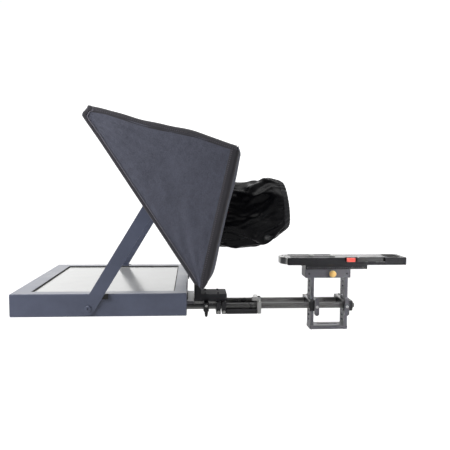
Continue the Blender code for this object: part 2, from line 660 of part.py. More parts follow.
def arm_stop(name, side, pivot, reach):
    """The rubber block on the side of the case, with its front face along the arm that leans on it."""
    slope = reach.x / reach.y
    edge = ARM_WIDTH / 2 * reach.length / reach.y + 0.0005
    low, high = CASE_TOP - 0.0095, CASE_TOP + 0.0005
    outline = [(pivot.x + slope * (z - pivot.y) + edge, z) for z in (low, high)]
    back = outline[1][0] + ARM_STOP_DEPTH
    outline += [(back, high), (back, low)]
    ends = sorted((side * (CASE_HALF + FIT_GAP), side * (ARM_OUTER_X + 0.0010)))
    extruded(name, outline, *ends, "X", BLACK_RUBBER)


# ---------------------------------------------------------------- glass frame
def make_glass_frame(axis):
    """Four rails round the glass, in the leaning frame: X across, Y through it and Z up along it."""
    half, back = GLASS_HALF, RAIL_BACK
    low, high, width = GLASS_FRAME_LOW, GLASS_FRAME_HIGH, RAIL_WIDTH
    opening = half - width
    rebate_low, rebate_high = low + width - GLASS_REBATE - FIT_GAP, high - width + GLASS_REBATE + FIT_GAP
    rebate_half = opening + GLASS_REBATE + FIT_GAP
    face = -GLASS_THICKNESS / 2 - FIT_GAP
    rails = {
        "glass_rail_left": ((-half, -back, low), (-opening, back, high)),
        "glass_rail_right": ((opening, -back, low), (half, back, high)),
        "glass_rail_bottom": ((-opening + FIT_GAP, -back, low), (opening - FIT_GAP, back, low + width)),
        "glass_rail_top": ((-opening + FIT_GAP, -back, high - width), (opening - FIT_GAP, back, high)),
    }
    for name, (corner, far_corner) in rails.items():
        rail = box(name, corner, far_corner, SLATE_PAINT, parent=axis)
        rebate = box(name + "_rebate", (-rebate_half, face, rebate_low),
                     (rebate_half, back + 0.01, rebate_high), None,
                     CUTTERS, axis)
        cut(rail, rebate)
    glass_half = rebate_half - FIT_GAP
    box("beam_splitter_glass", (-glass_half, -GLASS_THICKNESS / 2, rebate_low + FIT_GAP),
        (glass_half, GLASS_THICKNESS / 2, rebate_high - FIT_GAP), GLASS, parent=axis)


# ---------------------------------------------------------------- hood, stay and sleeve
def hood_top_line(y):
    """Height of the hood's top surface at a place along Y."""
    return HOOD_FRONT_TOP[1] - HOOD_FALL * (y - HOOD_FRONT_TOP[0])


def rear_panel_line(share, outward):
    """A point of the rear panel, from the top (share 0) to the foot (share 1), pushed outward."""
    top, knee, foot = (Vector(point) for point in (HOOD_REAR_TOP, HOOD_SEAM_KNEE, HOOD_SEAM_FOOT))
    knee_share = 0.72
    if share < knee_share:
        point = top.lerp(knee, share / knee_share)
    else:
        point = knee.lerp(foot, (share - knee_share) / (1 - knee_share))
    along = (foot - top).normalized()
    normal = Vector((-along.y, along.x))
    bulge = HOOD_REAR_BULGE * math.sin(math.pi * share ** 1.5)
    return point + normal * (outward + bulge)


def make_hood():
    drop = HOOD_CLOTH / math.cos(math.atan(HOOD_FALL))
    front_y, rear_y = HOOD_FRONT_TOP[0], HOOD_REAR_TOP[0]
    side_drop = drop + FIT_GAP * 2
    rear_inset = 0.0010
    side_outline = [
        (front_y + 0.0015, hood_top_line(front_y + 0.0015) - side_drop),
        (rear_y - rear_inset, hood_top_line(rear_y) - side_drop),
        (HOOD_SEAM_KNEE[0] - rear_inset, HOOD_SEAM_KNEE[1]),
        (HOOD_SEAM_FOOT[0] - rear_inset, HOOD_SEAM_FOOT[1]),
        HOOD_TIP,
        (HOOD_TIP[0] - 0.0080, HOOD_TIP[1] + 0.0020),
        HOOD_FRONT_FOOT,
    ]
    for name, side in SIDES:
        ends = sorted((side * HOOD_INNER_HALF, side * HOOD_OUTER_HALF))
        extruded(f"hood_side_{name}", side_outline, *ends, "X", HOOD_CLOTH_MATERIAL)
    top_outline = [
        (front_y, hood_top_line(front_y) - drop),
        (rear_y, hood_top_line(rear_y) - drop),
        (rear_y, hood_top_line(rear_y)),
        (front_y, hood_top_line(front_y)),
    ]
    extruded("hood_top", top_outline, -HOOD_OUTER_HALF, HOOD_OUTER_HALF, "X", HOOD_CLOTH_MATERIAL)
    shares = [0.020 + index * 0.980 / 9 for index in range(10)]
    inner = [tuple(rear_panel_line(share, 0.0004)) for share in shares]
    outer = [tuple(rear_panel_line(share, 0.0004 + HOOD_CLOTH)) for share in reversed(shares)]
    rear = extruded("hood_rear", inner + outer, -HOOD_OUTER_HALF, HOOD_OUTER_HALF, "X", HOOD_CLOTH_MATERIAL)
    hole = cylinder("lens_hole", "Y", (0, HOOD_SEAM_KNEE[0], LENS_HOLE_Z), LENS_HOLE_RADIUS, 0.06, None,
                    CUTTERS)
    cut(rear, hole)


def make_stay(glass_axis):
    """The wire bail that holds up the hood's rear top edge, with its ends in two lugs."""
    radius = STAY_DIAMETER / 2
    pivot = HINGE_POINT + GLASS_UP * STAY_PIVOT_UP + GLASS_BACK * STAY_PIVOT_BACK
    axis = axis_empty("hood_stay_axis", (0, pivot.x, pivot.y))
    bar = Vector((STAY_BAR_Y, STAY_BAR_Z)) - pivot
    lug_inner, lug_outer = STAY_LEG_HALF + radius + 0.001, GLASS_HALF
    points = [(-lug_outer + 0.002, 0, 0), (-STAY_LEG_HALF, 0, 0), (-STAY_LEG_HALF, *bar),
              (STAY_LEG_HALF, *bar),
              (STAY_LEG_HALF, 0, 0), (lug_outer - 0.002, 0, 0)]
    curve = bpy.data.curves.new("hood_stay", "CURVE")
    curve.dimensions = "3D"
    curve.bevel_depth = radius
    curve.bevel_resolution = 2
    curve.use_fill_caps = True
    spline = curve.splines.new("POLY")
    spline.points.add(len(points) - 1)
    for point, place_xyz in zip(spline.points, points):
        point.co = (*place_xyz, 1.0)
    stay = bpy.data.objects.new("hood_stay", curve)
    curve.materials.append(BLACK_ANODISED)
    PARTS.objects.link(stay)
    stay.parent = axis
    for name, side in SIDES:
        ends = sorted((side * lug_inner, side * lug_outer))
        lug = box(f"stay_lug_{name}", (ends[0], RAIL_BACK + FIT_GAP, GLASS_FRAME_LOW),
                  (ends[1], STAY_PIVOT_BACK + STAY_LUG_DEPTH, STAY_PIVOT_UP + STAY_LUG_HEIGHT), BLACK_PLASTIC,
                  parent=glass_axis)
        hole = cylinder(f"stay_lug_{name}_hole", "X", (sum(ends) / 2, STAY_PIVOT_BACK, STAY_PIVOT_UP),
                        radius + FIT_GAP,
                        0.02, None, CUTTERS, glass_axis, SMALL_ROUND)
        cut(lug, hole)


def make_sleeve():
    """The lens sleeve: a loft of leaning rings from the hood to the lens, open at both ends."""
    bm = bmesh.new()
    segments = 24
    loops = []
    for inset in (0.0, SLEEVE_CLOTH_THICKNESS):
        for y, z, lean, radius in SLEEVE_RINGS:
            lean = math.radians(lean)
            ring = []
            for index in range(segments):
                angle = 2 * math.pi * index / segments
                across, up = (radius - inset) * math.cos(angle), (radius - inset) * math.sin(angle)
                ring.append(bm.verts.new((across, y + up * math.sin(lean), z + up * math.cos(lean))))
            loops.append(ring)
    count = len(SLEEVE_RINGS)
    order = loops[:count] + loops[count:][::-1]
    for ring, following in zip(order, order[1:] + order[:1]):
        for index in range(segments):
            after = (index + 1) % segments
            bm.faces.new((ring[index], ring[after], following[after], following[index]))
    bmesh.ops.recalc_face_normals(bm, faces=bm.faces)
    place("lens_sleeve", mesh_of(bm, "lens_sleeve"), SLEEVE_CLOTH)


# ---------------------------------------------------------------- riser
def make_riser():
    half = UPRIGHT_WIDTH / 2
    for name, front_y in (("front", UPRIGHT_FRONT_Y), ("rear", UPRIGHT_REAR_Y)):
        upright = box(f"upright_{name}", (-half, front_y, UPRIGHT_LOW),
                      (half, front_y + UPRIGHT_THICKNESS, UPRIGHT_HIGH),
                      GREY_ANODISED)
        middle_y = front_y + UPRIGHT_THICKNESS / 2
        slots = []
        for index in range(CHEESE_COUNT):
            z = (UPRIGHT_LOW + UPRIGHT_HIGH) / 2 + (index - (CHEESE_COUNT - 1) / 2) * CHEESE_PITCH
            outline = stadium((0, 0), CHEESE_SLOT_LENGTH, CHEESE_SLOT_HEIGHT)
            slot = extruded(f"upright_{name}_slot_{index}", outline, -0.01, 0.01, "Z", None, CUTTERS)
            slot.rotation_euler = (math.pi / 2, 0, 0)
            slot.location = (0, middle_y, z)
            slots.append(slot)
        cut(upright, *slots)
    bar_high = UPRIGHT_LOW - FIT_GAP
    rear_face = UPRIGHT_REAR_Y + UPRIGHT_THICKNESS
    bar = box("riser_foot_bar", (-half, UPRIGHT_FRONT_Y - 0.001, bar_high - FOOT_BAR_HEIGHT),
              (half, rear_face + 0.001, bar_high), GREY_ANODISED, edge=0.0008)
    middle = (UPRIGHT_FRONT_Y + rear_face) / 2
    slot = extruded("foot_bar_slot", stadium((0, 0), 0.048, 0.0068), -0.05, 0.05, "Z", None, CUTTERS)
    slot.rotation_euler = (0, 0, math.pi / 2)
    slot.location = (0, middle, 0)
    cut(bar, slot)
    head_half = HEAD_WIDTH / 2
    box("riser_head", (-head_half, HEAD_FRONT_Y, HEAD_LOW), (head_half, HEAD_REAR_Y, HEAD_TOP),
        GREY_ANODISED,
        edge=0.0012)
    axis = axis_empty("slide_lock_axis", (head_half, KNOB_Y, (HEAD_LOW + HEAD_TOP) / 2))
    steps = [(FIT_GAP, 0.0045), (0.0020, 0.0045), (0.0020, KNOB_RADIUS - 0.0006), (0.0028, KNOB_RADIUS),
             (KNOB_LENGTH - 0.0010, KNOB_RADIUS), (KNOB_LENGTH, KNOB_RADIUS - 0.0012)]
    turned("slide_lock_knob", "X", (0, 0, 0), steps, BRASS, parent=axis)


def make_bridges():
    """The two blocks that clamp the rods and hold the uprights, each with a wing knob on its side."""
    for name, upright_y, before in (("front", UPRIGHT_FRONT_Y, 0.0066), ("rear", UPRIGHT_REAR_Y, 0.0085)):
        low_y = upright_y - before
        bridge = rod_clamp(f"rod_bridge_{name}", low_y, BRIDGE_LENGTH, BRIDGE_LOW, BRIDGE_HIGH,
                           BLACK_ANODISED)
        half = UPRIGHT_WIDTH / 2 + FIT_GAP
        slot = box(f"rod_bridge_{name}_slot", (-half, upright_y - FIT_GAP, BRIDGE_LOW - 0.01),
                   (half, upright_y + UPRIGHT_THICKNESS + FIT_GAP, BRIDGE_HIGH + 0.01), None, CUTTERS)
        cut(bridge, slot)
        knob_y = low_y + (BRIDGE_LENGTH - 0.0065 if name == "front" else 0.0065)
        axis = axis_empty(f"bridge_knob_{name}_axis", (CLAMP_WIDTH / 2, knob_y, ROD_HEIGHT))
        outline = hull_outline((0, WING_UP), 0.0040, (0, -WING_DOWN), 0.0052)
        extruded(f"bridge_knob_{name}", outline, FIT_GAP, FIT_GAP + LEVER_THICKNESS, "X", GREY_ANODISED,
                 parent=axis,
                 edge=0.0012)


# ---------------------------------------------------------------- camera platform
def make_platform():
    half = SLIDE_PLATE_WIDTH / 2
    box("slide_plate", (-half, SLIDE_PLATE_FRONT_Y, SLIDE_LOW), (half, SLIDE_PLATE_REAR_Y, SLIDE_HIGH),
        BLACK_ANODISED,
        edge=0.0006)
    half = ADAPTER_WIDTH / 2
    plate = box("camera_plate", (-half, ADAPTER_FRONT_Y, ADAPTER_LOW), (half, ADAPTER_REAR_Y, ADAPTER_HIGH),
                BLACK_ANODISED, edge=0.0008)
    pocket = box("camera_plate_pocket", (POCKET_X, POCKET_FRONT_Y, POCKET_LOW),
                 (half + 0.01, POCKET_REAR_Y, ADAPTER_HIGH + 0.01),
                 None, CUTTERS)
    cut(plate, pocket)
    nose_rear = ADAPTER_FRONT_Y - FIT_GAP
    nose_front = nose_rear - ADAPTER_NOSE_LENGTH
    nose_half = ADAPTER_NOSE_WIDTH / 2
    nose = [(-half, nose_rear), (-half, nose_rear - 0.004), (-nose_half, nose_front),
            (nose_half, nose_front),
            (half, nose_rear - 0.004), (half, nose_rear)]
    extruded("camera_plate_nose", nose, ADAPTER_LOW + 0.002, ADAPTER_HIGH, "Z", SATIN_SILVER, edge=0.0010)
    low, high = POCKET_PIECE_LOW, POCKET_PIECE_LOW + POCKET_PIECE_HEIGHT
    button_half = RELEASE_BUTTON_LENGTH / 2
    inner = POCKET_X + 0.0034
    box("release_button", (inner, RELEASE_BUTTON_Y - button_half, low),
        (half + 0.0020, RELEASE_BUTTON_Y + button_half, high),
        RED_PLASTIC, edge=0.0012)
    axis = axis_empty("release_lever_axis", (POCKET_X + POCKET_DEPTH / 2, RELEASE_PIVOT_Y, low))
    outline = hull_outline((0, 0), POCKET_DEPTH / 2 - FIT_GAP, (0, RELEASE_LEVER_LENGTH), 0.0028)
    extruded("release_lever", outline, 0.0, high - low, "Z", BLACK_PLASTIC, parent=axis, edge=0.0010)


def main():
    hinge_point = (0.0, HINGE_Y, HINGE_Z)
    fixed_hinge = axis_empty("glass_hinge_base", hinge_point)
    glass_hinge = axis_empty("glass_hinge_axis", hinge_point, GLASS_LEAN)
    make_rods()
    make_base()
    make_tower()
    make_hinge(fixed_hinge, glass_hinge)
    make_monitor()
    make_monitor_controls()
    make_tray()
    make_arms()
    make_glass_frame(glass_hinge)
    make_hood()
    make_stay(glass_hinge)
    make_sleeve()
    make_bridges()
    make_riser()
    make_platform()
    bpy.context.view_layer.update()


main()
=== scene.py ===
"""Finish of the studio teleprompter: cloth hood and lens sleeve, small fittings, materials and stage.

Frame: +Z up, the presenter towards -Y and the camera towards +Y. Every size is in metres. Places come from the
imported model's boxes, and each new mesh is a grid or a profile worked out with numpy.
"""

import json
import math

import bmesh
import bpy
import numpy as np
from bpy.props import FloatProperty, FloatVectorProperty, IntProperty, PointerProperty
from mathutils import Matrix, Vector


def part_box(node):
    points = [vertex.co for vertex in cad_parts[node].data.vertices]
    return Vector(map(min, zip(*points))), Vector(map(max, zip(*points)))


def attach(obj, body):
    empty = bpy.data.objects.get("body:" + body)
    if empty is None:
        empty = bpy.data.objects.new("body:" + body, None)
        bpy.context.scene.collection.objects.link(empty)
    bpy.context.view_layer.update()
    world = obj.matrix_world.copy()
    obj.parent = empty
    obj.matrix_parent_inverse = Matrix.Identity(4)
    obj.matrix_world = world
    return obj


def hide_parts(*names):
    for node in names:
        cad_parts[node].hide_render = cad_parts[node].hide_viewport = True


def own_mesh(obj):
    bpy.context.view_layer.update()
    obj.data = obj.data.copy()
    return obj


bl_info = {
    "name": "Studio Teleprompter Finish",
    "version": (1, 0, 0),
    "blender": (4, 5, 0),
    "location": "View3D > Sidebar > Teleprompter",
    "description": "Dresses the packed teleprompter frame with its cloth, fittings and finishes",
    "category": "Object",
}

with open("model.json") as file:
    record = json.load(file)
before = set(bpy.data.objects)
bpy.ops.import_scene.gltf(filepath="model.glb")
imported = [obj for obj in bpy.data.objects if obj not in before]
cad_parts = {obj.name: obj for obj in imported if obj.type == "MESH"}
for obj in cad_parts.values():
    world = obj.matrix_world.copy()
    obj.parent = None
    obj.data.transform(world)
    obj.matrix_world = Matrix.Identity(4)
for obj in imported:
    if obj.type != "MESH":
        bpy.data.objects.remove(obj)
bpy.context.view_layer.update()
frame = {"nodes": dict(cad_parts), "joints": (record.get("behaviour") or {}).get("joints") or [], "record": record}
NODES = frame["nodes"]

X, Y, Z = np.eye(3)
TAU = 2 * math.pi


def joint_place(value, key="name"):
    """Where a joint stands, found by its name or by another of its values."""
    return next(joint for joint in frame["joints"] if joint[key] == value)["pos_m"]


# The hood's corners in its side view, as (y, z), where its CAD boxes don't give them.
HOOD_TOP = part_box("hood_top")
HOOD_CLOTH = 0.0032
FRONT_TOP = np.array([HOOD_TOP[0].y, HOOD_TOP[1].z])
REAR_TOP = np.array([HOOD_TOP[1].y, HOOD_TOP[0].z + HOOD_CLOTH])
SEAM_KNEE = np.array([-0.0726, 0.1646])
SEAM_FOOT = np.array([-0.0880, 0.0970])
FRONT_FOOT = np.array([-0.1095, 0.0970])
SEAM_Y, SEAM_Z = np.array([SEAM_FOOT, SEAM_KNEE, REAR_TOP]).T
HOOD_MIDDLE = np.array([0.0, -0.13, 0.27])
SIDE_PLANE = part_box("hood_side_right")[0].x + 0.0014
REAR_HALF_WIDTH = SIDE_PLANE - 0.0004

# The lower edge's dip, the curl of the front edge near the top, and the top edges' rounding.
FOOT_DIP = 0.0105
NOSE_SHARE = 0.964
NOSE_DEPTH = 0.0095
TOP_SHARE = 0.40
CORNER_SHARE = 0.44
CORNER_RADIUS = 0.0075
TOP_SAG = 0.0055

# Rises and dips of the top line: height, y of the middle, width.
TOP_WAVES = ((0.0042, -0.105, 0.040), (-0.0014, -0.205, 0.030), (-0.0030, -0.305, 0.02))

LENS_HOLE_RADIUS = 0.058
LENS_HOLE_Z = 0.218
PANEL_CREASE = 0.0007

# The glass frame's lean, and its rearward normal.
GLASS_LEAN = math.radians(31.6)
FOLD_AXIS = (0.0, math.cos(GLASS_LEAN), math.sin(GLASS_LEAN))

# The sleeve's rings: y and z of the middle, lean of the plane in degrees, radius.
SLEEVE_RINGS = np.array([
    (-0.0420, 0.2175, 12.4, 0.0745),
    (-0.0060, 0.2150, 7.0, 0.0735),
    (0.0300, 0.2225, 0.0, 0.0725),
    (0.0620, 0.2330, -6.0, 0.0680),
    (0.0960, 0.2390, -8.0, 0.0510),
])
SLEEVE_LEAN = math.radians(SLEEVE_RINGS[0, 2])

# Values of the two cloths, and how thick each is.
HOOD_WEAVE = {"threads": 1500.0, "roughness": 0.66, "sheen": 0.12, "crumple": 0.55, "crumple_scale": 22.0,
              "bump": 0.5}
SLEEVE_WEAVE = {"threads": 2200.0, "roughness": 0.25, "sheen": 0.0, "crumple": 0.35, "crumple_scale": 40.0,
                "bump": 0.10, "dust": 0.0, "speck": 0.2, "gloss": 0.12}
HOOD_THICKNESS = 0.0012
SLEEVE_THICKNESS = 0.0007

# How far a tape's back runs under the cloth; the rear tapes' width on the rear panel; the piping's gap from the
# front tape, its height over the cloth, its radius, and how much lighter it is than the tape: a painted highlight.
TAPE_SINK = 0.0008
DEEP_SINK = 0.0010
REAR_TAPE_TURN = 0.009
PIPING_GAP = 0.0018
PIPING_LIFT = 0.0010
PIPING_RADIUS = 0.0011
PIPING_PAINTED_HIGHLIGHT = 3.4
ELASTIC_LIGHTER = 2.6
RIBS_PER_METRE = 2600.0 / math.pi

# The camera stands at the prompter's right side and its picture is level along Y.
CAMERA_PLACE = (1.240, -0.114, 0.283)
CAMERA_AIM = (-1.0, 0.0596, -0.0727)
CAMERA_LENS = 44.45


# ---------------------------------------------------------------- mesh building
def grid_faces(rows, columns, wrap_rows=False, wrap_columns=False):
    """Quads of a grid numbered row by row; a wrapped direction joins its last line to its first."""
    row = np.arange(rows if wrap_rows else rows - 1)[:, None]
    column = np.arange(columns if wrap_columns else columns - 1)[None, :]
    next_row, next_column = (row + 1) % rows, (column + 1) % columns
    corners = [row * columns + column, row * columns + next_column,
               next_row * columns + next_column, next_row * columns + column]
    return np.stack(corners, -1).reshape(-1, 4)


def solid(points, faces):
    """Points as an (n, 3) array and faces as a list of index lists."""
    return np.asarray(points, float).reshape(-1, 3), [list(face) for face in faces]


def joined(*solids):
    """Several solids as one, with their faces renumbered."""
    points, faces, offset = [], [], 0
    for some_points, some_faces in solids:
        points.append(some_points)
        faces += [[index + offset for index in face] for face in some_faces]
        offset += len(some_points)
    return np.concatenate(points), faces


def moved(shape, origin, across=X, up=Y, out=None):
    """A solid with its own x, y and z laid along across, up and out, then moved to origin."""
    points, faces = shape
    across, up = np.asarray(across, float), np.asarray(up, float)
    out = np.cross(across, up) if out is None else np.asarray(out, float)
    return np.asarray(origin, float) + points @ np.stack([across, up, out]), faces


def circle(radius, count=32, start=0.0):
    """Points at equal angles round a circle."""
    angle = start + TAU * np.arange(count) / count
    return radius * np.stack([np.cos(angle), np.sin(angle)], -1)


def rounded_rectangle(width, height, radius, steps=5):
    """A rectangle whose corners are quarter circles."""
    turn = np.linspace(0, math.pi / 2, steps)
    quarter = radius * np.stack([np.cos(turn), np.sin(turn)], -1)
    half = np.array([width / 2 - radius, height / 2 - radius])
    corners = []
    for index, signs in enumerate(((1, 1), (-1, 1), (-1, -1), (1, -1))):
        angle = index * math.pi / 2
        spin = np.array([[math.cos(angle), math.sin(angle)], [-math.sin(angle), math.cos(angle)]])
        corners.append(half * signs + quarter @ spin)
    return np.concatenate(corners)


def slab(outline, low, high, edge):
    """An outline raised from low to high, its rims rounded by insetting each corner point along its
    bisector."""
    ahead, behind = np.roll(outline, -1, 0) - outline, outline - np.roll(outline, 1, 0)
    ahead /= np.linalg.norm(ahead, axis=1)[:, None]
    behind /= np.linalg.norm(behind, axis=1)[:, None]
    inward = np.stack([-(ahead + behind)[:, 1], (ahead + behind)[:, 0]], -1)
    inward /= np.maximum(np.linalg.norm(inward, axis=1)[:, None], 1e-9)
    turn = np.linspace(0, math.pi / 2, 4)
    inset = edge * (1 - np.concatenate([np.sin(turn), np.sin(turn[::-1])]))
    level = np.concatenate([low + edge * (1 - np.cos(turn)), high - edge * (1 - np.cos(turn[::-1]))])
    flat = outline[None] + inset[:, None, None] * inward[None]
    rings = np.concatenate([flat, np.broadcast_to(level[:, None, None], (*flat.shape[:2], 1))], -1)
    rows, columns = flat.shape[:2]
    faces = grid_faces(rows, columns, wrap_columns=True).tolist()
    faces += [list(range(columns))[::-1], list(range((rows - 1) * columns, rows * columns))]
    return solid(rings, faces)


def lathe(profile, count=40, closed=False):
    """A profile of (height, radius) points turned about z. An end whose radius is 0 closes to a pole, and a
    closed profile joins its last point to its first."""
    height, radius = np.asarray(profile, float).T
    angle = TAU * np.arange(count) / count
    points = np.stack([radius[:, None] * np.cos(angle), radius[:, None] * np.sin(angle),
                       np.broadcast_to(height[:, None], (len(height), count))], -1)
    return solid(points, grid_faces(len(height), count, wrap_rows=closed, wrap_columns=True))


def tube(path, radius, sides=10, reference=Z):
    """Circles of one radius carried along a path, square to its tangent, with both ends closed to a point."""
    path = np.asarray(path, float)
    path = np.concatenate([path[:1], path, path[-1:]])
    tangent = np.gradient(path, axis=0)
    tangent[0], tangent[-1] = path[2] - path[1], path[-2] - path[-3]
    tangent[1], tangent[-2] = tangent[0], tangent[-1]
    tangent /= np.linalg.norm(tangent, axis=1)[:, None]
    side = np.cross(tangent, reference)
    side /= np.linalg.norm(side, axis=1)[:, None]
    rise = np.cross(side, tangent)
    size = np.full(len(path), radius)
    size[[0, -1]] = 0.0
    angle = TAU * np.arange(sides) / sides
    points = path[:, None] + size[:, None, None] * (side[:, None] * np.cos(angle)[None, :, None]
                                                    + rise[:, None] * np.sin(angle)[None, :, None])
    return solid(points, grid_faces(len(path), sides, wrap_columns=True))


def screw_head(radius, height, socket_share=0.52):
    """A cap head with a rounded rim and a hexagonal recess: rings from the foot up over the rim to the
    socket."""
    count, edge = 36, radius * 0.18
    angle = TAU * np.arange(count) / count
    hexagon = radius * socket_share * math.cos(math.pi / 6) / np.cos((angle % (math.pi / 3)) - math.pi / 6)
    turn = np.linspace(0, math.pi / 2, 4)
    rim_height = height - edge * (1 - np.sin(turn))
    rim_radius = radius - edge * (1 - np.cos(turn))
    levels = [(0.0, np.zeros(count)), (0.0, np.full(count, radius))]
    levels += [(level, np.full(count, size)) for level, size in zip(rim_height, rim_radius)]
    levels += [(height, hexagon * 1.08), (height - 0.0003, hexagon), (height * 0.45, hexagon),
               (height * 0.40, np.zeros(count))]
    points = np.stack([np.stack([size * np.cos(angle), size * np.sin(angle), np.full(count, level)], -1)
                       for level, size in levels])
    return solid(points, grid_faces(len(levels), count, wrap_columns=True))


def make_mesh(name, shape, uv=None, merge=1e-6, sharp=35):
    """A mesh of a solid, its doubles merged, faces turned outward and edges sharper than the angle kept."""
    points, faces = shape
    mesh = bpy.data.meshes.new(name)
    mesh.from_pydata(points.tolist(), [], faces)
    if uv is not None:
        corner = np.zeros(len(mesh.loops), int)
        mesh.loops.foreach_get("vertex_index", corner)
        layer = mesh.uv_layers.new(name="UVMap")
        layer.uv.foreach_set("vector", np.asarray(uv, float).reshape(-1, 2)[corner].ravel())
    work = bmesh.new()
    work.from_mesh(mesh)
    bmesh.ops.remove_doubles(work, verts=work.verts, dist=merge)
    bmesh.ops.recalc_face_normals(work, faces=work.faces)
    work.to_mesh(mesh)
    work.free()
    mesh.shade_smooth()
    mesh.set_sharp_from_angle(angle=math.radians(sharp))
    return mesh


def make_piece(name, mesh, look, body):
    """Places a mesh as a piece with its material, riding on a body."""
    piece = bpy.data.objects.new(name, mesh)
    bpy.context.scene.collection.objects.link(piece)
    mesh.materials.clear()
    mesh.materials.append(look)
    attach(piece, body)
    return piece


def bake_modifiers(piece):
    """Replaces a piece's mesh by what its modifiers make of it."""
    made = bpy.data.meshes.new_from_object(piece.evaluated_get(bpy.context.evaluated_depsgraph_get()))
    made.name = piece.data.name
    piece.modifiers.clear()
    piece.data = made
    return piece


def folds_with_hood(piece):
    """Gives a cloth piece a mesh of its own."""
    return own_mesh(piece)


# ---------------------------------------------------------------- shader building
def put(tree, kind, inputs=(), **settings):
    """Adds a node to a tree. inputs maps a socket's name or number to a value or to another node's output."""
    node = tree.nodes.new("ShaderNode" + kind)
    for key, value in settings.items():
        setattr(node, key, value)
    for key, value in dict(inputs).items():
        if isinstance(value, bpy.types.NodeSocket):
            tree.links.new(value, node.inputs[key])
        else:
            node.inputs[key].default_value = value
    return node


def maths(tree, operation, first, second=0.0, clamp=False):
    """The output of a Math node."""
    return put(tree, "Math", {0: first, 1: second}, operation=operation, use_clamp=clamp).outputs[0]


def mixed(tree, share, first, second, mode="MIX"):
    """The colour output of a Mix node."""
    inputs = {"Factor": share, 6: first, 7: second}
    return put(tree, "Mix", inputs, data_type="RGBA", blend_type=mode).outputs[2]


def ranged(tree, value, low, high, to_low, to_high):
    """A value carried from one range to another, held inside it."""
    inputs = {0: value, 1: low, 2: high, 3: to_low, 4: to_high}
    return put(tree, "MapRange", inputs).outputs[0]


def new_group(name, inputs, outputs):
    """An empty shader node group with float inputs (name, default) and outputs (name, socket type)."""
    group = bpy.data.node_groups.new(name, "ShaderNodeTree")
    for label, value in inputs:
        socket = group.interface.new_socket(label, in_out="INPUT", socket_type="NodeSocketFloat")
        socket.default_value = value
    for label, kind in outputs:
        group.interface.new_socket(label, in_out="OUTPUT", socket_type="NodeSocket" + kind)
    return group, group.nodes.new("NodeGroupInput"), group.nodes.new("NodeGroupOutput")


def edge_wear_group():
    """Worn rises where a rounded normal parts from the true one, broken up by noise, and is cut off at
    Amount."""
    group, taken, given = new_group("edge_wear", [("Amount", 0.5), ("Scale", 220.0)], [("Worn", "Float")])
    place = put(group, "TexCoord").outputs["Object"]
    rounded = put(group, "Bevel", {"Radius": 0.0007}, samples=4).outputs[0]
    flat = put(group, "NewGeometry").outputs["Normal"]
    agree = put(group, "VectorMath", {0: rounded, 1: flat}, operation="DOT_PRODUCT").outputs["Value"]
    parted = ranged(group, agree, 0.995, 0.86, 0.0, 1.0)
    noise = put(group, "TexNoise", {"Vector": place, "Scale": taken.outputs["Scale"], "Detail": 4.0}).outputs[0]
    broken = ranged(group, noise, 0.38, 0.66, 0.0, 1.0)
    worn = maths(group, "MULTIPLY", maths(group, "MULTIPLY", parted, broken), taken.outputs["Amount"], True)
    group.links.new(worn, given.inputs["Worn"])
    return group


def fine_grain_group():
    """Height is fine noise over a coarser one, and Tone is a broad cloud of it between 0 and 1."""
    group, taken, given = new_group("fine_grain", [("Scale", 900.0), ("Cloud Scale", 14.0)],
                                    [("Height", "Float"), ("Tone", "Float")])
    place = put(group, "TexCoord").outputs["Object"]
    fine = put(group, "TexNoise", {"Vector": place, "Scale": taken.outputs["Scale"], "Detail": 3.0}).outputs[0]
    wide_scale = maths(group, "MULTIPLY", taken.outputs["Scale"], 0.22)
    wide = put(group, "TexNoise", {"Vector": place, "Scale": wide_scale, "Detail": 2.0}).outputs[0]
    height = maths(group, "ADD", maths(group, "MULTIPLY", fine, 0.6), maths(group, "MULTIPLY", wide, 0.4))
    cloud = put(group, "TexNoise", {"Vector": place, "Scale": taken.outputs["Cloud Scale"], "Detail": 5.0,
                                    "Roughness": 0.6}).outputs[0]
    group.links.new(height, given.inputs["Height"])
    group.links.new(ranged(group, cloud, 0.3, 0.7, 0.0, 1.0), given.inputs["Tone"])
    return group


def dust_group():
    """Dust settles on faces that look upward, in patches of noise."""
    group, taken, given = new_group("dust", [("Amount", 0.2)], [("Dust", "Float")])
    place = put(group, "TexCoord").outputs["Object"]
    up = put(group, "SeparateXYZ", {0: put(group, "NewGeometry").outputs["Normal"]}).outputs[2]
    patches = put(group, "TexNoise", {"Vector": place, "Scale": 38.0, "Detail": 6.0, "Roughness": 0.7}).outputs[0]
    lying = maths(group, "MULTIPLY", ranged(group, up, 0.3, 1.0, 0.0, 1.0),
                  ranged(group, patches, 0.35, 0.75, 0.0, 1.0))
    group.links.new(maths(group, "MULTIPLY", lying, taken.outputs["Amount"], True), given.inputs["Dust"])
    return group


def weave_group():
    """A plain weave on a UV map in metres: each thread is a half sine; over and under change like a
    chequer."""
    group, taken, given = new_group("weave", [("Threads per metre", 1500.0)],
                                    [("Height", "Float"), ("Tone", "Float")])
    parted = put(group, "SeparateXYZ", {0: put(group, "UVMap").outputs[0]})
    waves = []
    for axis in (0, 1):
        turn = maths(group, "MULTIPLY", maths(group, "MULTIPLY", parted.outputs[axis],
                                              taken.outputs["Threads per metre"]), math.pi)
        waves.append(maths(group, "SINE", turn))
    over = maths(group, "GREATER_THAN", maths(group, "MULTIPLY", waves[0], waves[1]), 0.0)
    first = maths(group, "MULTIPLY", maths(group, "ABSOLUTE", waves[0]), over)
    second = maths(group, "MULTIPLY", maths(group, "ABSOLUTE", waves[1]), maths(group, "SUBTRACT", 1.0, over))
    height = maths(group, "ADD", first, second)
    group.links.new(height, given.inputs["Height"])
    group.links.new(over, given.inputs["Tone"])
    return group


GROUPS = {}


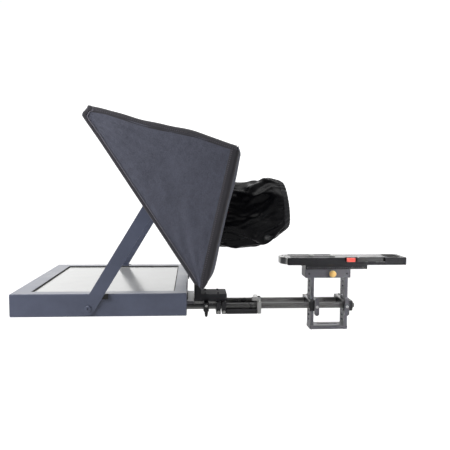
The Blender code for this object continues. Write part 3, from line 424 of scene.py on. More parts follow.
def effect(tree, name, output, **inputs):
    """An output of one of the shared effects, placed in a material with its own values."""
    if name not in GROUPS:
        makers = {"edge_wear": edge_wear_group, "fine_grain": fine_grain_group, "dust": dust_group,
                  "weave": weave_group}
        GROUPS[name] = makers[name]()
    for node in tree.nodes:
        if node.type == "GROUP" and node.node_tree == GROUPS[name]:
            return node.outputs[output]
    node = tree.nodes.new("ShaderNodeGroup")
    node.node_tree = GROUPS[name]
    for label, value in inputs.items():
        node.inputs[label.replace("_", " ")].default_value = value
    return node.outputs[output]


def blank_material(name):
    """A node material with its Principled shader; returns the material, its tree and the shader."""
    made = bpy.data.materials.new(name)
    made.use_nodes = True
    return made, made.node_tree, made.node_tree.nodes["Principled BSDF"]


def shade(colour, factor):
    """A colour made darker or lighter, with alpha."""
    return (*(min(1.0, channel * factor) for channel in colour), 1.0)


def hard_finish(name, colour, worn, roughness, metallic, grain, bump, wear, dust, coat):
    """Paint, anodising or moulded plastic: a clouded colour, rubbed edges, settled dust and a fine grain."""
    made, tree, shader = blank_material(name)
    tone = effect(tree, "fine_grain", "Tone", Scale=grain)
    body = mixed(tree, tone, shade(colour, 0.86), shade(colour, 1.14))
    rubbed = effect(tree, "edge_wear", "Worn", Amount=wear)
    body = mixed(tree, rubbed, body, (*worn, 1.0))
    dusty = effect(tree, "dust", "Dust", Amount=dust)
    body = mixed(tree, dusty, body, (0.32, 0.31, 0.30, 1.0))
    tree.links.new(body, shader.inputs["Base Color"])
    rough = ranged(tree, tone, 0.0, 1.0, roughness - 0.06, roughness + 0.06)
    rough = maths(tree, "ADD", rough, maths(tree, "MULTIPLY", dusty, 0.5), True)
    rough = maths(tree, "SUBTRACT", rough, maths(tree, "MULTIPLY", rubbed, 0.15), True)
    tree.links.new(rough, shader.inputs["Roughness"])
    shader.inputs["Metallic"].default_value = metallic
    shader.inputs["Coat Weight"].default_value = coat
    shader.inputs["Coat Roughness"].default_value = 0.25
    relief = put(tree, "Bump", {"Height": effect(tree, "fine_grain", "Height"), "Strength": bump,
                                "Distance": 0.0004})
    tree.links.new(relief.outputs[0], shader.inputs["Normal"])
    return made


def turned_metal(name, colour, roughness, wear=0.3, stretch=(60.0, 900.0, 900.0)):
    """Bare metal: fine scratches, noise stretched along one way, over clouded roughness."""
    made, tree, shader = blank_material(name)
    place = put(tree, "TexCoord").outputs["Object"]
    laid = put(tree, "Mapping", {"Vector": place, "Scale": stretch}).outputs[0]
    scratches = put(tree, "TexNoise", {"Vector": laid, "Scale": 1.0, "Detail": 3.0}).outputs[0]
    tone = effect(tree, "fine_grain", "Tone", Scale=700.0, Cloud_Scale=40.0)
    body = mixed(tree, ranged(tree, scratches, 0.3, 0.7, 0.0, 1.0), shade(colour, 0.85), shade(colour, 1.1))
    rubbed = effect(tree, "edge_wear", "Worn", Amount=wear)
    body = mixed(tree, rubbed, body, shade(colour, 1.4))
    tree.links.new(body, shader.inputs["Base Color"])
    rough = maths(tree, "ADD", ranged(tree, scratches, 0.3, 0.7, roughness - 0.07, roughness + 0.07),
                  maths(tree, "MULTIPLY", tone, 0.08), True)
    tree.links.new(rough, shader.inputs["Roughness"])
    shader.inputs["Metallic"].default_value = 1.0
    relief = put(tree, "Bump", {"Height": scratches, "Strength": 0.12, "Distance": 0.0002})
    tree.links.new(relief.outputs[0], shader.inputs["Normal"])
    return made


def cloth_finish(name, colour, threads, roughness, sheen, crumple, crumple_scale, bump, dust=0.04, speck=0.5,
                 gloss=0.5):
    """Woven cloth on a UV map in metres: weave, mottled yarn, broad crumples, and a lighter nap at grazing
    angles."""
    made, tree, shader = blank_material(name)
    place = put(tree, "TexCoord").outputs["Object"]
    woven = effect(tree, "weave", "Height", Threads_per_metre=threads)
    thread = effect(tree, "weave", "Tone")
    tone = effect(tree, "fine_grain", "Tone", Scale=600.0, Cloud_Scale=9.0)
    body = mixed(tree, tone, shade(colour, 0.88), shade(colour, 1.12))
    body = mixed(tree, maths(tree, "MULTIPLY", thread, 0.25), body, shade(colour, 1.35))
    yarn = ranged(tree, effect(tree, "fine_grain", "Height"), 0.40, 0.60, 0.0, speck)
    body = mixed(tree, yarn, body, shade(colour, 1.6))
    dusty = effect(tree, "dust", "Dust", Amount=dust)
    body = mixed(tree, dusty, body, (0.30, 0.30, 0.30, 1.0))
    tree.links.new(body, shader.inputs["Base Color"])
    tree.links.new(ranged(tree, tone, 0.0, 1.0, roughness - 0.05, roughness + 0.05), shader.inputs["Roughness"])
    shader.inputs["Sheen Weight"].default_value = sheen
    shader.inputs["Sheen Roughness"].default_value = 0.45
    shader.inputs["Specular IOR Level"].default_value = gloss
    creased = put(tree, "TexNoise", {"Vector": place, "Scale": crumple_scale, "Detail": 5.0, "Roughness": 0.55,
                                     "Distortion": 0.6}).outputs[0]
    broad = put(tree, "Bump", {"Height": creased, "Strength": crumple, "Distance": 0.004})
    fine = put(tree, "Bump", {"Height": woven, "Strength": bump, "Distance": 0.00025, "Normal": broad.outputs[0]})
    tree.links.new(fine.outputs[0], shader.inputs["Normal"])
    return made


def webbing_finish(name, colour, stitches):
    """A ribbed binding tape with a row of stitches near each edge; u runs along it in metres, v from 0 to 1
    across."""
    made, tree, shader = blank_material(name)
    parted = put(tree, "SeparateXYZ", {0: put(tree, "UVMap").outputs[0]})
    along, across = parted.outputs[0], parted.outputs[1]
    rib = maths(tree, "ABSOLUTE", maths(tree, "SINE", maths(tree, "MULTIPLY", along, math.pi * RIBS_PER_METRE)))
    beat = maths(tree, "SINE", maths(tree, "MULTIPLY", along, TAU * stitches))
    dash = ranged(tree, beat, -0.2, 0.1, 0.0, 1.0)
    rows = []
    for place in (0.20, 0.80):
        apart = maths(tree, "ABSOLUTE", maths(tree, "SUBTRACT", across, place))
        rows.append(ranged(tree, apart, 0.035, 0.065, 1.0, 0.0))
    seam = maths(tree, "MULTIPLY", maths(tree, "ADD", *rows, True), dash)
    tone = effect(tree, "fine_grain", "Tone", Scale=800.0, Cloud_Scale=22.0)
    body = mixed(tree, tone, shade(colour, 0.82), shade(colour, 1.18))
    body = mixed(tree, seam, body, shade(colour, 2.1))
    tree.links.new(body, shader.inputs["Base Color"])
    tree.links.new(ranged(tree, tone, 0.0, 1.0, 0.72, 0.88), shader.inputs["Roughness"])
    shader.inputs["Sheen Weight"].default_value = 0.15
    height = maths(tree, "ADD", maths(tree, "MULTIPLY", rib, 0.35), seam)
    relief = put(tree, "Bump", {"Height": height, "Strength": 0.5, "Distance": 0.0004})
    tree.links.new(relief.outputs[0], shader.inputs["Normal"])
    return made


def glass_finish():
    """Coated splitter glass: part mirror, part clear, with faint smears in its roughness."""
    made, tree, shader = blank_material("coated_glass")
    place = put(tree, "TexCoord").outputs["Object"]
    smears = put(tree, "TexNoise", {"Vector": place, "Scale": 7.0, "Detail": 4.0, "Distortion": 1.2}).outputs[0]
    tree.links.new(ranged(tree, smears, 0.45, 0.75, 0.005, 0.05), shader.inputs["Roughness"])
    tint = mixed(tree, smears, (0.86, 0.90, 0.92, 1.0), (0.90, 0.93, 0.95, 1.0))
    tree.links.new(tint, shader.inputs["Base Color"])
    shader.inputs["Transmission Weight"].default_value = 1.0
    shader.inputs["IOR"].default_value = 1.75
    return made


def screen_finish(colour):
    """The switched-off screen under its film: pale grey that mirrors softly, with a very fine mottling.
    The soft mirror is real; the pale grey colour is a painted reflection of the white surroundings.
    """
    made, tree, shader = blank_material("screen_film")
    tone = effect(tree, "fine_grain", "Tone", Scale=1600.0, Cloud_Scale=6.0)
    tree.links.new(mixed(tree, tone, shade(colour, 0.95), shade(colour, 1.05)), shader.inputs["Base Color"])
    tree.links.new(ranged(tree, tone, 0.0, 1.0, 0.10, 0.17), shader.inputs["Roughness"])
    shader.inputs["IOR"].default_value = 1.6
    relief = put(tree, "Bump", {"Height": effect(tree, "fine_grain", "Height"), "Strength": 0.03,
                                "Distance": 0.0002})
    tree.links.new(relief.outputs[0], shader.inputs["Normal"])
    return made


def board_finish():
    """A circuit board: green lacquer over a grid of tracks."""
    made, tree, shader = blank_material("circuit_board")
    place = put(tree, "TexCoord").outputs["Object"]
    tracks = put(tree, "TexBrick", {"Vector": place, "Scale": 160.0, "Mortar Size": 0.012}).outputs["Fac"]
    tone = effect(tree, "fine_grain", "Tone", Scale=500.0)
    body = mixed(tree, tone, (0.012, 0.11, 0.05, 1.0), (0.02, 0.17, 0.08, 1.0))
    tree.links.new(mixed(tree, tracks, body, (0.20, 0.34, 0.14, 1.0)), shader.inputs["Base Color"])
    tree.links.new(ranged(tree, tone, 0.0, 1.0, 0.30, 0.45), shader.inputs["Roughness"])
    return made


# ---------------------------------------------------------------- sizes and colours a user may change
class TeleprompterHood(bpy.types.PropertyGroup):
    """The hood's and the sleeve's sizes and colours."""
    wrinkle: FloatProperty(name="Wrinkle", description="Height of the cloth's broad wrinkles", default=0.0020,
                           min=0.0, max=0.004, unit="LENGTH")
    front_binding: FloatProperty(name="Front binding", description="Width of the tape along the front edge",
                                 default=0.0085, unit="LENGTH")
    top_roll: FloatProperty(name="Top roll", description="Width on the side of the roll along the top edge",
                            default=0.0045, unit="LENGTH")
    rear_binding: FloatProperty(name="Rear binding", description="Width of the tape along the rear seam",
                                default=0.0130, unit="LENGTH")
    bulge: FloatProperty(name="Rear bulge", description="How far the rear panel swells behind its seam",
                         default=0.0122, unit="LENGTH")
    fold_depth: FloatProperty(name="Sleeve fold", description="Height of the sleeve's folds", default=0.0075,
                              unit="LENGTH")
    pleats: IntProperty(name="Pleats", description="Small gathers at each end of the sleeve", default=34, min=8,
                        max=80)
    cloth: FloatVectorProperty(name="Hood cloth", description="Colour of the hood's cloth", subtype="COLOR",
                               default=(0.083, 0.088, 0.122), min=0.0, max=1.0)
    binding: FloatVectorProperty(name="Binding", description="Colour of the hood's tapes", subtype="COLOR",
                                 default=(0.045, 0.043, 0.052), min=0.0, max=1.0)
    sleeve: FloatVectorProperty(name="Sleeve cloth", description="Colour of the sleeve", subtype="COLOR",
                                default=(0.0030, 0.0030, 0.0042), min=0.0, max=1.0)


class TeleprompterFinishes(bpy.types.PropertyGroup):
    """Colours of the hard parts."""
    paint: FloatVectorProperty(name="Paint", description="Colour of the painted case and arms", subtype="COLOR",
                               default=(0.105, 0.120, 0.180), min=0.0, max=1.0)
    black: FloatVectorProperty(name="Black", description="Colour of the black anodised parts", subtype="COLOR",
                               default=(0.028, 0.028, 0.032), min=0.0, max=1.0)
    grey: FloatVectorProperty(name="Grey", description="Colour of the grey anodised parts", subtype="COLOR",
                              default=(0.100, 0.098, 0.114), min=0.0, max=1.0)
    # The screen's pale grey is a painted reflection of the white surroundings on a dark screen.
    screen: FloatVectorProperty(name="Screen", description="Colour of the screen's film", subtype="COLOR",
                                default=(0.54, 0.54, 0.53), min=0.0, max=1.0)
    screw_radius: FloatProperty(name="Screw radius", description="Radius of the small cap screws", default=0.0026,
                                unit="LENGTH")


class TeleprompterStage(bpy.types.PropertyGroup):
    """The floor, the light and the camera."""
    floor_drop: FloatProperty(name="Floor drop", description="Height of the floor under the frame's origin",
                              default=-0.60, unit="LENGTH")
    floor_radius: FloatProperty(name="Floor radius", description="Radius of the round floor", default=7.0,
                                unit="LENGTH")
    key: FloatProperty(name="Key", description="Power of the key light in watts", default=8.2)
    riser_fill: FloatProperty(name="Riser fill", description="Power of the light on the riser in watts",
                              default=0.45)
    fill: FloatProperty(name="Fill", description="Power of the fill light in watts", default=10.0)
    sky: FloatProperty(name="Surroundings", description="Strength of the white surroundings", default=0.85)


# ---------------------------------------------------------------- hood and sleeve shapes
def bump_at(value, middle, width):
    """A smooth hump of height 1 round a middle."""
    return np.exp(-((value - middle) / width) ** 2)


def shell_point(s, t, wrinkle):
    """The hood's sides and top as one surface: s from -1 at the left foot, over the top, to 1 at the right
    foot, and t from 0 at the front edge to 1 at the rear seam. On a side the point runs straight from the
    front edge to the seam; over the corner it follows a quarter circle, and the top sags between the sides.
    The front edge curls back near the top on a quarter ellipse, and the lower edge dips on a skewed sine.
    Products of sines push the cloth outward."""
    s, t = np.broadcast_arrays(np.asarray(s, float), np.asarray(t, float))
    size = np.abs(s)
    climb = np.clip((1 - size) / (1 - CORNER_SHARE), 0, 1)
    corner = np.clip((CORNER_SHARE - size) / (CORNER_SHARE - TOP_SHARE), 0, 1) * math.pi / 2
    nose = np.clip((climb - NOSE_SHARE) / (1 - NOSE_SHARE), 0, 1)
    front_y = FRONT_FOOT[0] + (FRONT_TOP[0] - FRONT_FOOT[0]) * np.minimum(climb / NOSE_SHARE, 1)
    front_y = front_y + NOSE_DEPTH * (1 - np.sqrt(1 - nose ** 2))
    front_z = FRONT_FOOT[1] + (FRONT_TOP[1] - CORNER_RADIUS - FRONT_FOOT[1]) * climb
    rear_z = SEAM_FOOT[1] + (REAR_TOP[1] - CORNER_RADIUS - SEAM_FOOT[1]) * climb
    rear_y = np.interp(rear_z, SEAM_Z, SEAM_Y)
    y = front_y + (rear_y - front_y) * t
    z = front_z + (rear_z - front_z) * t
    z = z - FOOT_DIP * np.clip(1 - climb / 0.10, 0, 1) ** 2 * np.sin(math.pi * np.clip(t, 0, 1) ** 1.9)
    over = climb >= 1
    z = z + sum(height * bump_at(y, middle, width) for height, middle, width in TOP_WAVES) * climb ** 6
    flat_half = SIDE_PLANE - CORNER_RADIUS
    across = np.where(size < TOP_SHARE, flat_half * size / TOP_SHARE, flat_half + CORNER_RADIUS * np.cos(corner))
    rise = np.where(size < TOP_SHARE, CORNER_RADIUS, CORNER_RADIUS * np.sin(corner))
    sag = TOP_SAG * (1 - np.clip(size / TOP_SHARE, 0, 1) ** 2) * np.sin(math.pi * t)
    z = z + np.where(over, rise - sag, 0.0)
    pull = (np.sin(9.0 * t + 5.0 * climb) * np.sin(7.0 * climb - 2.2 * t + 0.6)
            + 0.5 * np.sin(23.0 * t - 15.0 * climb + 1.3) * np.sin(11.0 * climb + 4.0 * t))
    fan = np.sin(30.0 * np.arctan2(1.02 - climb, t + 0.06)) * bump_at(climb, 1.0, 0.22) * (1 - t) * 0.8
    swell = wrinkle * (0.75 + 0.5 * pull + 0.5 * fan) * np.sin(math.pi * np.clip(t, 0, 1)) ** 0.5
    out_x = np.where(over, 0.0, swell)
    ripple = np.where(over, wrinkle * 0.7 * np.sin(26.0 * s + 6.0 * t) * np.sin(math.pi * t), 0.0)
    return np.stack([np.sign(s) * (across + out_x), y, z + ripple], -1)


def rear_point(x_share, fall, bulge, wrinkle):
    """The rear panel: x_share from -1 to 1 across, fall from 0 at the top to 1 at the foot. It follows the
    seam's line and stands behind it on a swell that rises within a short way of its four edges, a little
    fuller near both ends."""
    x_share, fall = np.broadcast_arrays(np.asarray(x_share, float), np.asarray(fall, float))
    z = REAR_TOP[1] + (SEAM_FOOT[1] - REAR_TOP[1]) * fall
    y = np.interp(z, SEAM_Z, SEAM_Y)
    flat_top = 1 - np.abs(x_share) ** 12
    from_top = np.sin(math.pi / 2 * np.clip(fall / 0.05, 0, 1)) ** 0.7
    from_foot = np.sin(math.pi / 2 * np.clip((1 - fall) / 0.10, 0, 1)) ** 0.6
    down = from_top * from_foot
    down = down * (0.90 + 0.10 * bump_at(fall, 0.20, 0.16) + 0.10 * bump_at(fall, 0.84, 0.09))
    swell = bulge * flat_top * down
    creases = wrinkle * np.sin(14 * fall + 5 * np.abs(x_share)) * np.sin(9 * x_share + 3 * fall) * flat_top
    lean = math.atan2(REAR_TOP[0] - SEAM_FOOT[0], REAR_TOP[1] - SEAM_FOOT[1])
    push = swell + creases + 0.0012
    return np.stack([x_share * REAR_HALF_WIDTH, y + push * math.cos(lean), z - push * math.sin(lean)], -1)


def fall_at(z):
    """The share of the way down the rear panel at a height."""
    return (REAR_TOP[1] - z) / (REAR_TOP[1] - SEAM_FOOT[1])


def lengths(points, axis):
    """Distance run along one direction of a grid of points."""
    step = np.linalg.norm(np.diff(points, axis=axis), axis=-1)
    zero = np.zeros_like(np.take(step, [0], axis))
    return np.concatenate([zero, np.cumsum(step, axis)], axis)


def cloth_uv(points):
    """UV in metres: the distance run along the rows and along the columns of a grid."""
    return np.stack([lengths(points, 0), lengths(points, 1)], -1)


def pillow_strip(surface, outward, height, sink):
    """A tape on a grid of surface points, u along and v across: its top rises from both edges as 1 minus v to
    the sixth, and its back runs a little under the surface. Returns the solid and its UV, u in metres and v
    from 0 to 1."""
    count = surface.shape[1]
    v = np.linspace(-1, 1, count)
    rise = np.asarray(height)[..., None] * (1 - v ** 6) if np.ndim(height) else height * (1 - v ** 6)[None]
    top = surface + outward * rise[..., None]
    under = surface - outward * sink
    points = np.concatenate([top, under[:, ::-1]], 1)
    run = lengths(surface.mean(1), 0)
    uv_v = np.concatenate([(v + 1) / 2, (v[::-1] + 1) / 2])
    uv = np.stack(np.broadcast_arrays(run[:, None], uv_v[None]), -1)
    rows, columns = points.shape[:2]
    faces = grid_faces(rows, columns, wrap_columns=True).tolist()
    faces += [list(range(columns))[::-1], list(range((rows - 1) * columns, rows * columns))]
    return solid(points, faces), uv


def sewn_tape(name, shape, uv, look):
    """A tape sewn to the cloth, which moves with the glass frame."""
    return make_piece(name, make_mesh(name, shape, uv, sharp=70), look, "glass_frame")


def grid_normals(points, towards):
    """Unit normals of a grid of points, on the side that points away from a middle."""
    along, across = np.gradient(points, axis=0), np.gradient(points, axis=1)
    normal = np.cross(along, across)
    normal /= np.maximum(np.linalg.norm(normal, axis=-1, keepdims=True), 1e-12)
    facing = np.sign(np.sum(normal * (points - towards), -1, keepdims=True))
    return normal * np.where(facing == 0, 1, facing)


def shell_lines(count_side, count_top):
    """Values of s with even steps on the top, short ones over the corners and growing ones down the sides."""
    top = np.linspace(0, TOP_SHARE, count_top)
    corner = np.linspace(TOP_SHARE, CORNER_SHARE, 9)[1:]
    side = CORNER_SHARE + (1 - CORNER_SHARE) * np.linspace(0, 1, count_side)[1:] ** 1.5
    half = np.concatenate([top, corner, side])
    return np.concatenate([-half[:0:-1], half])


def walled(piece, thickness):
    """Gives a piece of cloth its thickness, half to each side."""
    wall = piece.modifiers.new("thickness", "SOLIDIFY")
    wall.thickness = thickness
    wall.offset = 0.0
    return bake_modifiers(piece)


def thick_cloth(name, surface, look, hole=None):
    """A grid of the hood's cloth with its thickness, and UV in metres. hole drops the faces inside a circle
    given by its middle and radius in x and z, and draws the points on its rim onto the circle."""
    rows, columns = surface.shape[:2]
    points = surface.reshape(-1, 3).copy()
    uv = cloth_uv(surface).reshape(-1, 2)
    faces = grid_faces(rows, columns)
    if hole is not None:
        (middle_x, middle_z), radius = hole
        away = points[:, [0, 2]] - [middle_x, middle_z]
        distance = np.linalg.norm(away, axis=1)
        keep = distance[faces].mean(1) > radius
        rim = np.intersect1d(faces[keep], faces[~keep])
        points[rim[:, None], [0, 2]] = [middle_x, middle_z] + away[rim] / distance[rim, None] * radius
        faces = faces[keep]
        used, renumbered = np.unique(faces, return_inverse=True)
        faces, points, uv = renumbered.reshape(faces.shape), points[used], uv[used]
    mesh = make_mesh(name, solid(points, faces), uv, sharp=50)
    return walled(make_piece(name, mesh, look, "glass_frame"), HOOD_THICKNESS)


# ---------------------------------------------------------------- operators
class FinishOperator:
    """What the finish operators share."""
    bl_options = {"REGISTER", "UNDO"}

    @staticmethod
    def lay(*pieces):
        """Checks that the pieces stand at the origin, unturned and unscaled."""
        for piece in pieces:
            if not np.allclose(np.array(piece.matrix_world), np.eye(4)):
                raise RuntimeError(f"{piece.name} isn't at the origin")


class TELEPROMPTER_OT_hood(FinishOperator, bpy.types.Operator):
    """Sews the hood: its sides and top, its rear panel, its tapes and its rolled top edges"""
    bl_idname = "teleprompter.hood"
    bl_label = "Hood"

    def execute(self, context):
        sizes = context.scene.teleprompter_hood
        cloth = cloth_finish("hood_nylon", sizes.cloth, **HOOD_WEAVE)
        tape = webbing_finish("hood_tape", sizes.binding, stitches=260.0)
        # The piping is a real cord, but its colour is lighter than the tape's as a painted highlight along it.
        cord = webbing_finish("hood_piping", shade(sizes.binding, PIPING_PAINTED_HIGHLIGHT)[:3], stitches=400.0)

        s = shell_lines(count_side=76, count_top=40)
        t = np.linspace(0, 1, 64)
        shell = shell_point(s[:, None], t[None], sizes.wrinkle)
        sides = thick_cloth("hood_shell", shell, cloth)
        x_share = np.sin(math.pi / 2 * np.linspace(-1, 1, 110))
        fall = (1 - np.cos(math.pi * np.linspace(0, 1, 90))) / 2
        back = rear_point(x_share[:, None], fall[None], sizes.bulge, PANEL_CREASE)
        rear = thick_cloth("hood_rear_panel", back, cloth, hole=((0.0, LENS_HOLE_Z), LENS_HOLE_RADIUS))

        pieces = [sides, rear]
        front = self.edge_strip(s, sizes.front_binding, sizes)
        thick = 0.0016 + 0.0016 * bump_at(np.abs(s), 0.42, 0.022)
        shape, uv = pillow_strip(front, grid_normals(front, HOOD_MIDDLE), thick, DEEP_SINK)
        pieces.append(sewn_tape("hood_front_binding", shape, uv, tape))
        pieces.append(self.front_piping(s, sizes, cord))
        pieces.append(self.top_rolls(sizes, tape))
        pieces.append(self.rear_tapes(sizes, tape))
        pieces.append(self.lens_hole_tape(sizes, tape))
        for piece in pieces:
            folds_with_hood(piece)
        self.lay(*pieces)
        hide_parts("hood_side_left", "hood_side_right", "hood_top")
        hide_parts("hood_rear")
        return {"FINISHED"}

    @staticmethod
    def edge_strip(s, width, sizes, count=9, rear_seam=False):
        """Points of a tape of one width laid inward from the front edge or from the rear seam."""
        front, rear = shell_point(s, np.zeros_like(s), 0.0), shell_point(s, np.ones_like(s), 0.0)
        share = np.minimum(width / np.linalg.norm(rear - front, axis=1), 0.6)
        step = np.linspace(0, 1, count)
        t = 1 - share[:, None] * (1 - step) if rear_seam else share[:, None] * step
        return shell_point(s[:, None], t, sizes.wrinkle)

    def front_piping(self, s, sizes, look):
        """A thin cord beside the front tape's inner edge."""
        surface = self.edge_strip(s, sizes.front_binding + PIPING_GAP, sizes)
        line = (surface + PIPING_LIFT * grid_normals(surface, HOOD_MIDDLE))[:, -1]
        shape = tube(line[2:-2], PIPING_RADIUS, 8, reference=Y)
        mesh = make_mesh("hood_front_piping", shape)
        return make_piece("hood_front_piping", mesh, look, "glass_frame")

    @staticmethod
    def top_rolls(sizes, look):
        """The rolled seams where the sides meet the top, slightly uneven in width along their length."""
        t = np.linspace(0.0, 1.0, 110)
        uneven = 1 + 0.05 * np.sin(17 * t + 0.8) + 0.03 * np.sin(41 * t)
        uneven = (0.45 + 0.55 * np.clip(t / 0.3, 0, 1)) * uneven
        below = sizes.top_roll / 0.33 * (1 - CORNER_SHARE) * uneven
        shapes, uvs = [], []
        for side in (-1, 1):
            share = np.linspace(0, 1, 15)[None]
            s = (TOP_SHARE - 0.014) + (CORNER_SHARE - TOP_SHARE + 0.014 + below[:, None]) * share
            surface = shell_point(side * s, t[:, None], sizes.wrinkle)
            height = 0.0017 + 0.0003 * np.sin(29 * t + side)
            shape, uv = pillow_strip(surface, grid_normals(surface, HOOD_MIDDLE), height, DEEP_SINK)
            shapes.append(shape)
            uvs.append(uv.reshape(-1, 2))
        return sewn_tape("hood_top_rolls", joined(*shapes), np.concatenate(uvs), look)

    def rear_tapes(self, sizes, look):
        """Tapes on the sides along the rear seams, each turned round the corner onto the rear panel."""
        shapes, uvs = [], []
        climb = np.linspace(0.0, 1.0, 90)
        s = 1 - climb * (1 - CORNER_SHARE)
        for side in (-1, 1):
            flank = self.edge_strip(side * s, sizes.rear_binding, sizes, 8, rear_seam=True)
            fall = np.clip(fall_at(flank[:, -1, 2]), 0, 1)
            x_share = side * np.linspace(1.0, 1 - REAR_TAPE_TURN / SIDE_PLANE, 6)[1:]
            around = rear_point(x_share[None], fall[:, None], sizes.bulge, 0.0)
            surface = np.concatenate([flank, around], 1)
            shape, uv = pillow_strip(surface, grid_normals(surface, HOOD_MIDDLE), 0.0015, TAPE_SINK)
            shapes.append(shape)
            uvs.append(uv.reshape(-1, 2))
        return sewn_tape("hood_rear_tapes", joined(*shapes), np.concatenate(uvs), look)

    def lens_hole_tape(self, sizes, look):
        """A tape round the lens hole, laid on the rear panel."""
        angle = TAU * np.arange(97) / 96
        radius = LENS_HOLE_RADIUS + np.linspace(-0.0004, 0.0080, 7)
        x = radius[None] * np.cos(angle)[:, None]
        z = LENS_HOLE_Z + radius[None] * np.sin(angle)[:, None]
        surface = rear_point(x / REAR_HALF_WIDTH, fall_at(z), sizes.bulge, PANEL_CREASE)
        shape, uv = pillow_strip(surface, grid_normals(surface, HOOD_MIDDLE), 0.0012, TAPE_SINK)
        return sewn_tape("lens_hole_tape", shape, uv, look)


class TELEPROMPTER_OT_sleeve(FinishOperator, bpy.types.Operator):
    """Gathers the lens sleeve between the hood's rear panel and the lens, with its flange and its elastic
    end"""
    bl_idname = "teleprompter.sleeve"
    bl_label = "Lens sleeve"

    @staticmethod
    def rings(u):
        """Middle, lean and radius of the sleeve's rings at shares u of its length, on smooth curves."""
        known = np.linspace(0, 1, len(SLEEVE_RINGS))
        fine = np.linspace(0, 1, 400)
        kernel = np.exp(-np.linspace(-2.2, 2.2, 61) ** 2)
        kernel /= kernel.sum()
        values = []
        for column in SLEEVE_RINGS.T:
            straight = np.interp(fine, known, column)
            padded = np.concatenate([2 * straight[0] - straight[30:0:-1], straight,
                                     2 * straight[-1] - straight[-2:-32:-1]])
            values.append(np.interp(u, fine, np.convolve(padded, kernel, "valid")))
        return values

    @classmethod
    def surface(cls, u, v, sizes, folded=1.0):
        """A point of the sleeve: on a leaning ring at u, at turn v, its radius moved by folds. Pleats are
        sines that fade away from both ends; the broad folds are sharp ridges that run slantwise, and the
        underside hangs a little."""
        u, v = np.broadcast_arrays(u, v)
        y, z, lean, radius = cls.rings(u)
        lean = np.radians(lean)
        angle = TAU * v
        drift = 0.9 * np.sin(3.1 * u + 2.0 * angle) + 0.5 * np.sin(7.0 * u - 3.0 * angle + 1.0)

        def ridge(turns, twist, phase, sharp):
            return (0.5 + 0.5 * np.cos(turns * angle + twist * u + phase + drift)) ** sharp

        middle = np.sin(math.pi * np.clip(u, 0, 1)) ** 0.8
        broad = (1.05 * ridge(4, 5.6, 0.4, 5.0) + 0.90 * ridge(6, -4.6, 2.1, 7.0) + 0.60 * ridge(9, 6.5, 4.0, 5.0)
                 + 0.30 * ridge(15, -7.5, 1.2, 3.0) - 0.62)
        ends = bump_at(u, 0.0, 0.11) + bump_at(u, 1.0, 0.13)
        pleat = np.sin(sizes.pleats * angle + 2.0 * np.sin(5 * angle)) * (0.7 + 0.3 * np.sin(7 * angle + 1))
        push = sizes.fold_depth * broad * middle + 0.0014 * pleat * ends
        hang = 0.006 * middle * np.clip(-np.sin(angle), 0, 1)
        size = radius - 0.0025 + folded * push + hang
        across, up = size * np.cos(angle), size * np.sin(angle)
        return np.stack([across, y + up * np.sin(lean), z + up * np.cos(lean)], -1)

    def execute(self, context):
        sizes = context.scene.teleprompter_hood
        look = cloth_finish("sleeve_nylon", sizes.sleeve, **SLEEVE_WEAVE)
        band = webbing_finish("sleeve_elastic", shade(sizes.sleeve, ELASTIC_LIGHTER)[:3], stitches=500.0)
        u, v = np.linspace(0, 1, 120), np.linspace(0, 1, 240, endpoint=False)
        points = self.surface(u[:, None], v[None], sizes)
        uv = np.stack(np.broadcast_arrays(0.155 * u[:, None], 0.42 * v[None]), -1)
        shape = solid(points, grid_faces(len(u), len(v), wrap_columns=True))
        sleeve = make_piece("sleeve_cloth", make_mesh("sleeve_cloth", shape, uv, sharp=180), look, "glass_frame")
        walled(sleeve, SLEEVE_THICKNESS)
        flange = self.flange(sizes, band)
        elastic = self.elastic(sizes, band)
        for piece in (sleeve, flange, elastic):
            folds_with_hood(piece)
        self.lay(sleeve, flange, elastic)
        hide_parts("lens_sleeve")
        return {"FINISHED"}

    @staticmethod
    def flange(sizes, look):
        """A flat ring of tape that sews the sleeve's wide end to the rear panel."""
        angle = TAU * np.arange(121) / 120
        radius = SLEEVE_RINGS[0, 3] + np.linspace(-0.010, 0.0035, 8)
        x = radius[None] * np.cos(angle)[:, None]
        z = LENS_HOLE_Z + radius[None] * np.sin(angle)[:, None] * math.cos(SLEEVE_LEAN)
        surface = rear_point(x / REAR_HALF_WIDTH, fall_at(z), sizes.bulge, PANEL_CREASE)
        outward = np.array([0.0, math.cos(SLEEVE_LEAN), -math.sin(SLEEVE_LEAN)])
        surface = surface + 0.0014 * outward
        shape, uv = pillow_strip(surface, np.broadcast_to(outward, surface.shape), 0.0020, TAPE_SINK)
        return sewn_tape("sleeve_flange", shape, uv, look)

    def elastic(self, sizes, look):
        """The puckered elastic hem round the narrow end."""
        v = np.linspace(0, 1, 241)
        u = np.linspace(0.90, 1.0, 9)
        surface = self.surface(u[None], v[:, None], sizes, 0.8)
        middle = np.array([0.0, SLEEVE_RINGS[-1, 0] - 0.006, SLEEVE_RINGS[-1, 1]])
        shape, uv = pillow_strip(surface, grid_normals(surface, middle), 0.0016, DEEP_SINK)
        return sewn_tape("sleeve_elastic_hem", shape, uv, look)


def box_faces(node):
    """Lowest corner, highest corner and middle of a CAD node."""
    low, high = (np.array(corner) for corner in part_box(node))
    return low, high, (low + high) / 2


def on_side(shape, side, place):
    """A solid whose own z points out of the right side (1) or the left side (-1)."""
    return moved(shape, place, across=Y, up=side * Z, out=side * X)


def on_rear(shape, place):
    """A solid whose own z points to the rear."""
    return moved(shape, place, across=-X, up=Z, out=Y)


def side_screw(x_face, side, y, z, radius, height):
    """A cap screw whose head stands out of a side face."""
    return on_side(screw_head(radius, height), side, (x_face, y, z))


def top_screw(x, y, z, radius, height, up=1):
    """A cap screw whose head stands up, or down where up is -1."""
    return moved(screw_head(radius, height), (x, y, z), across=X, up=up * Y, out=up * Z)


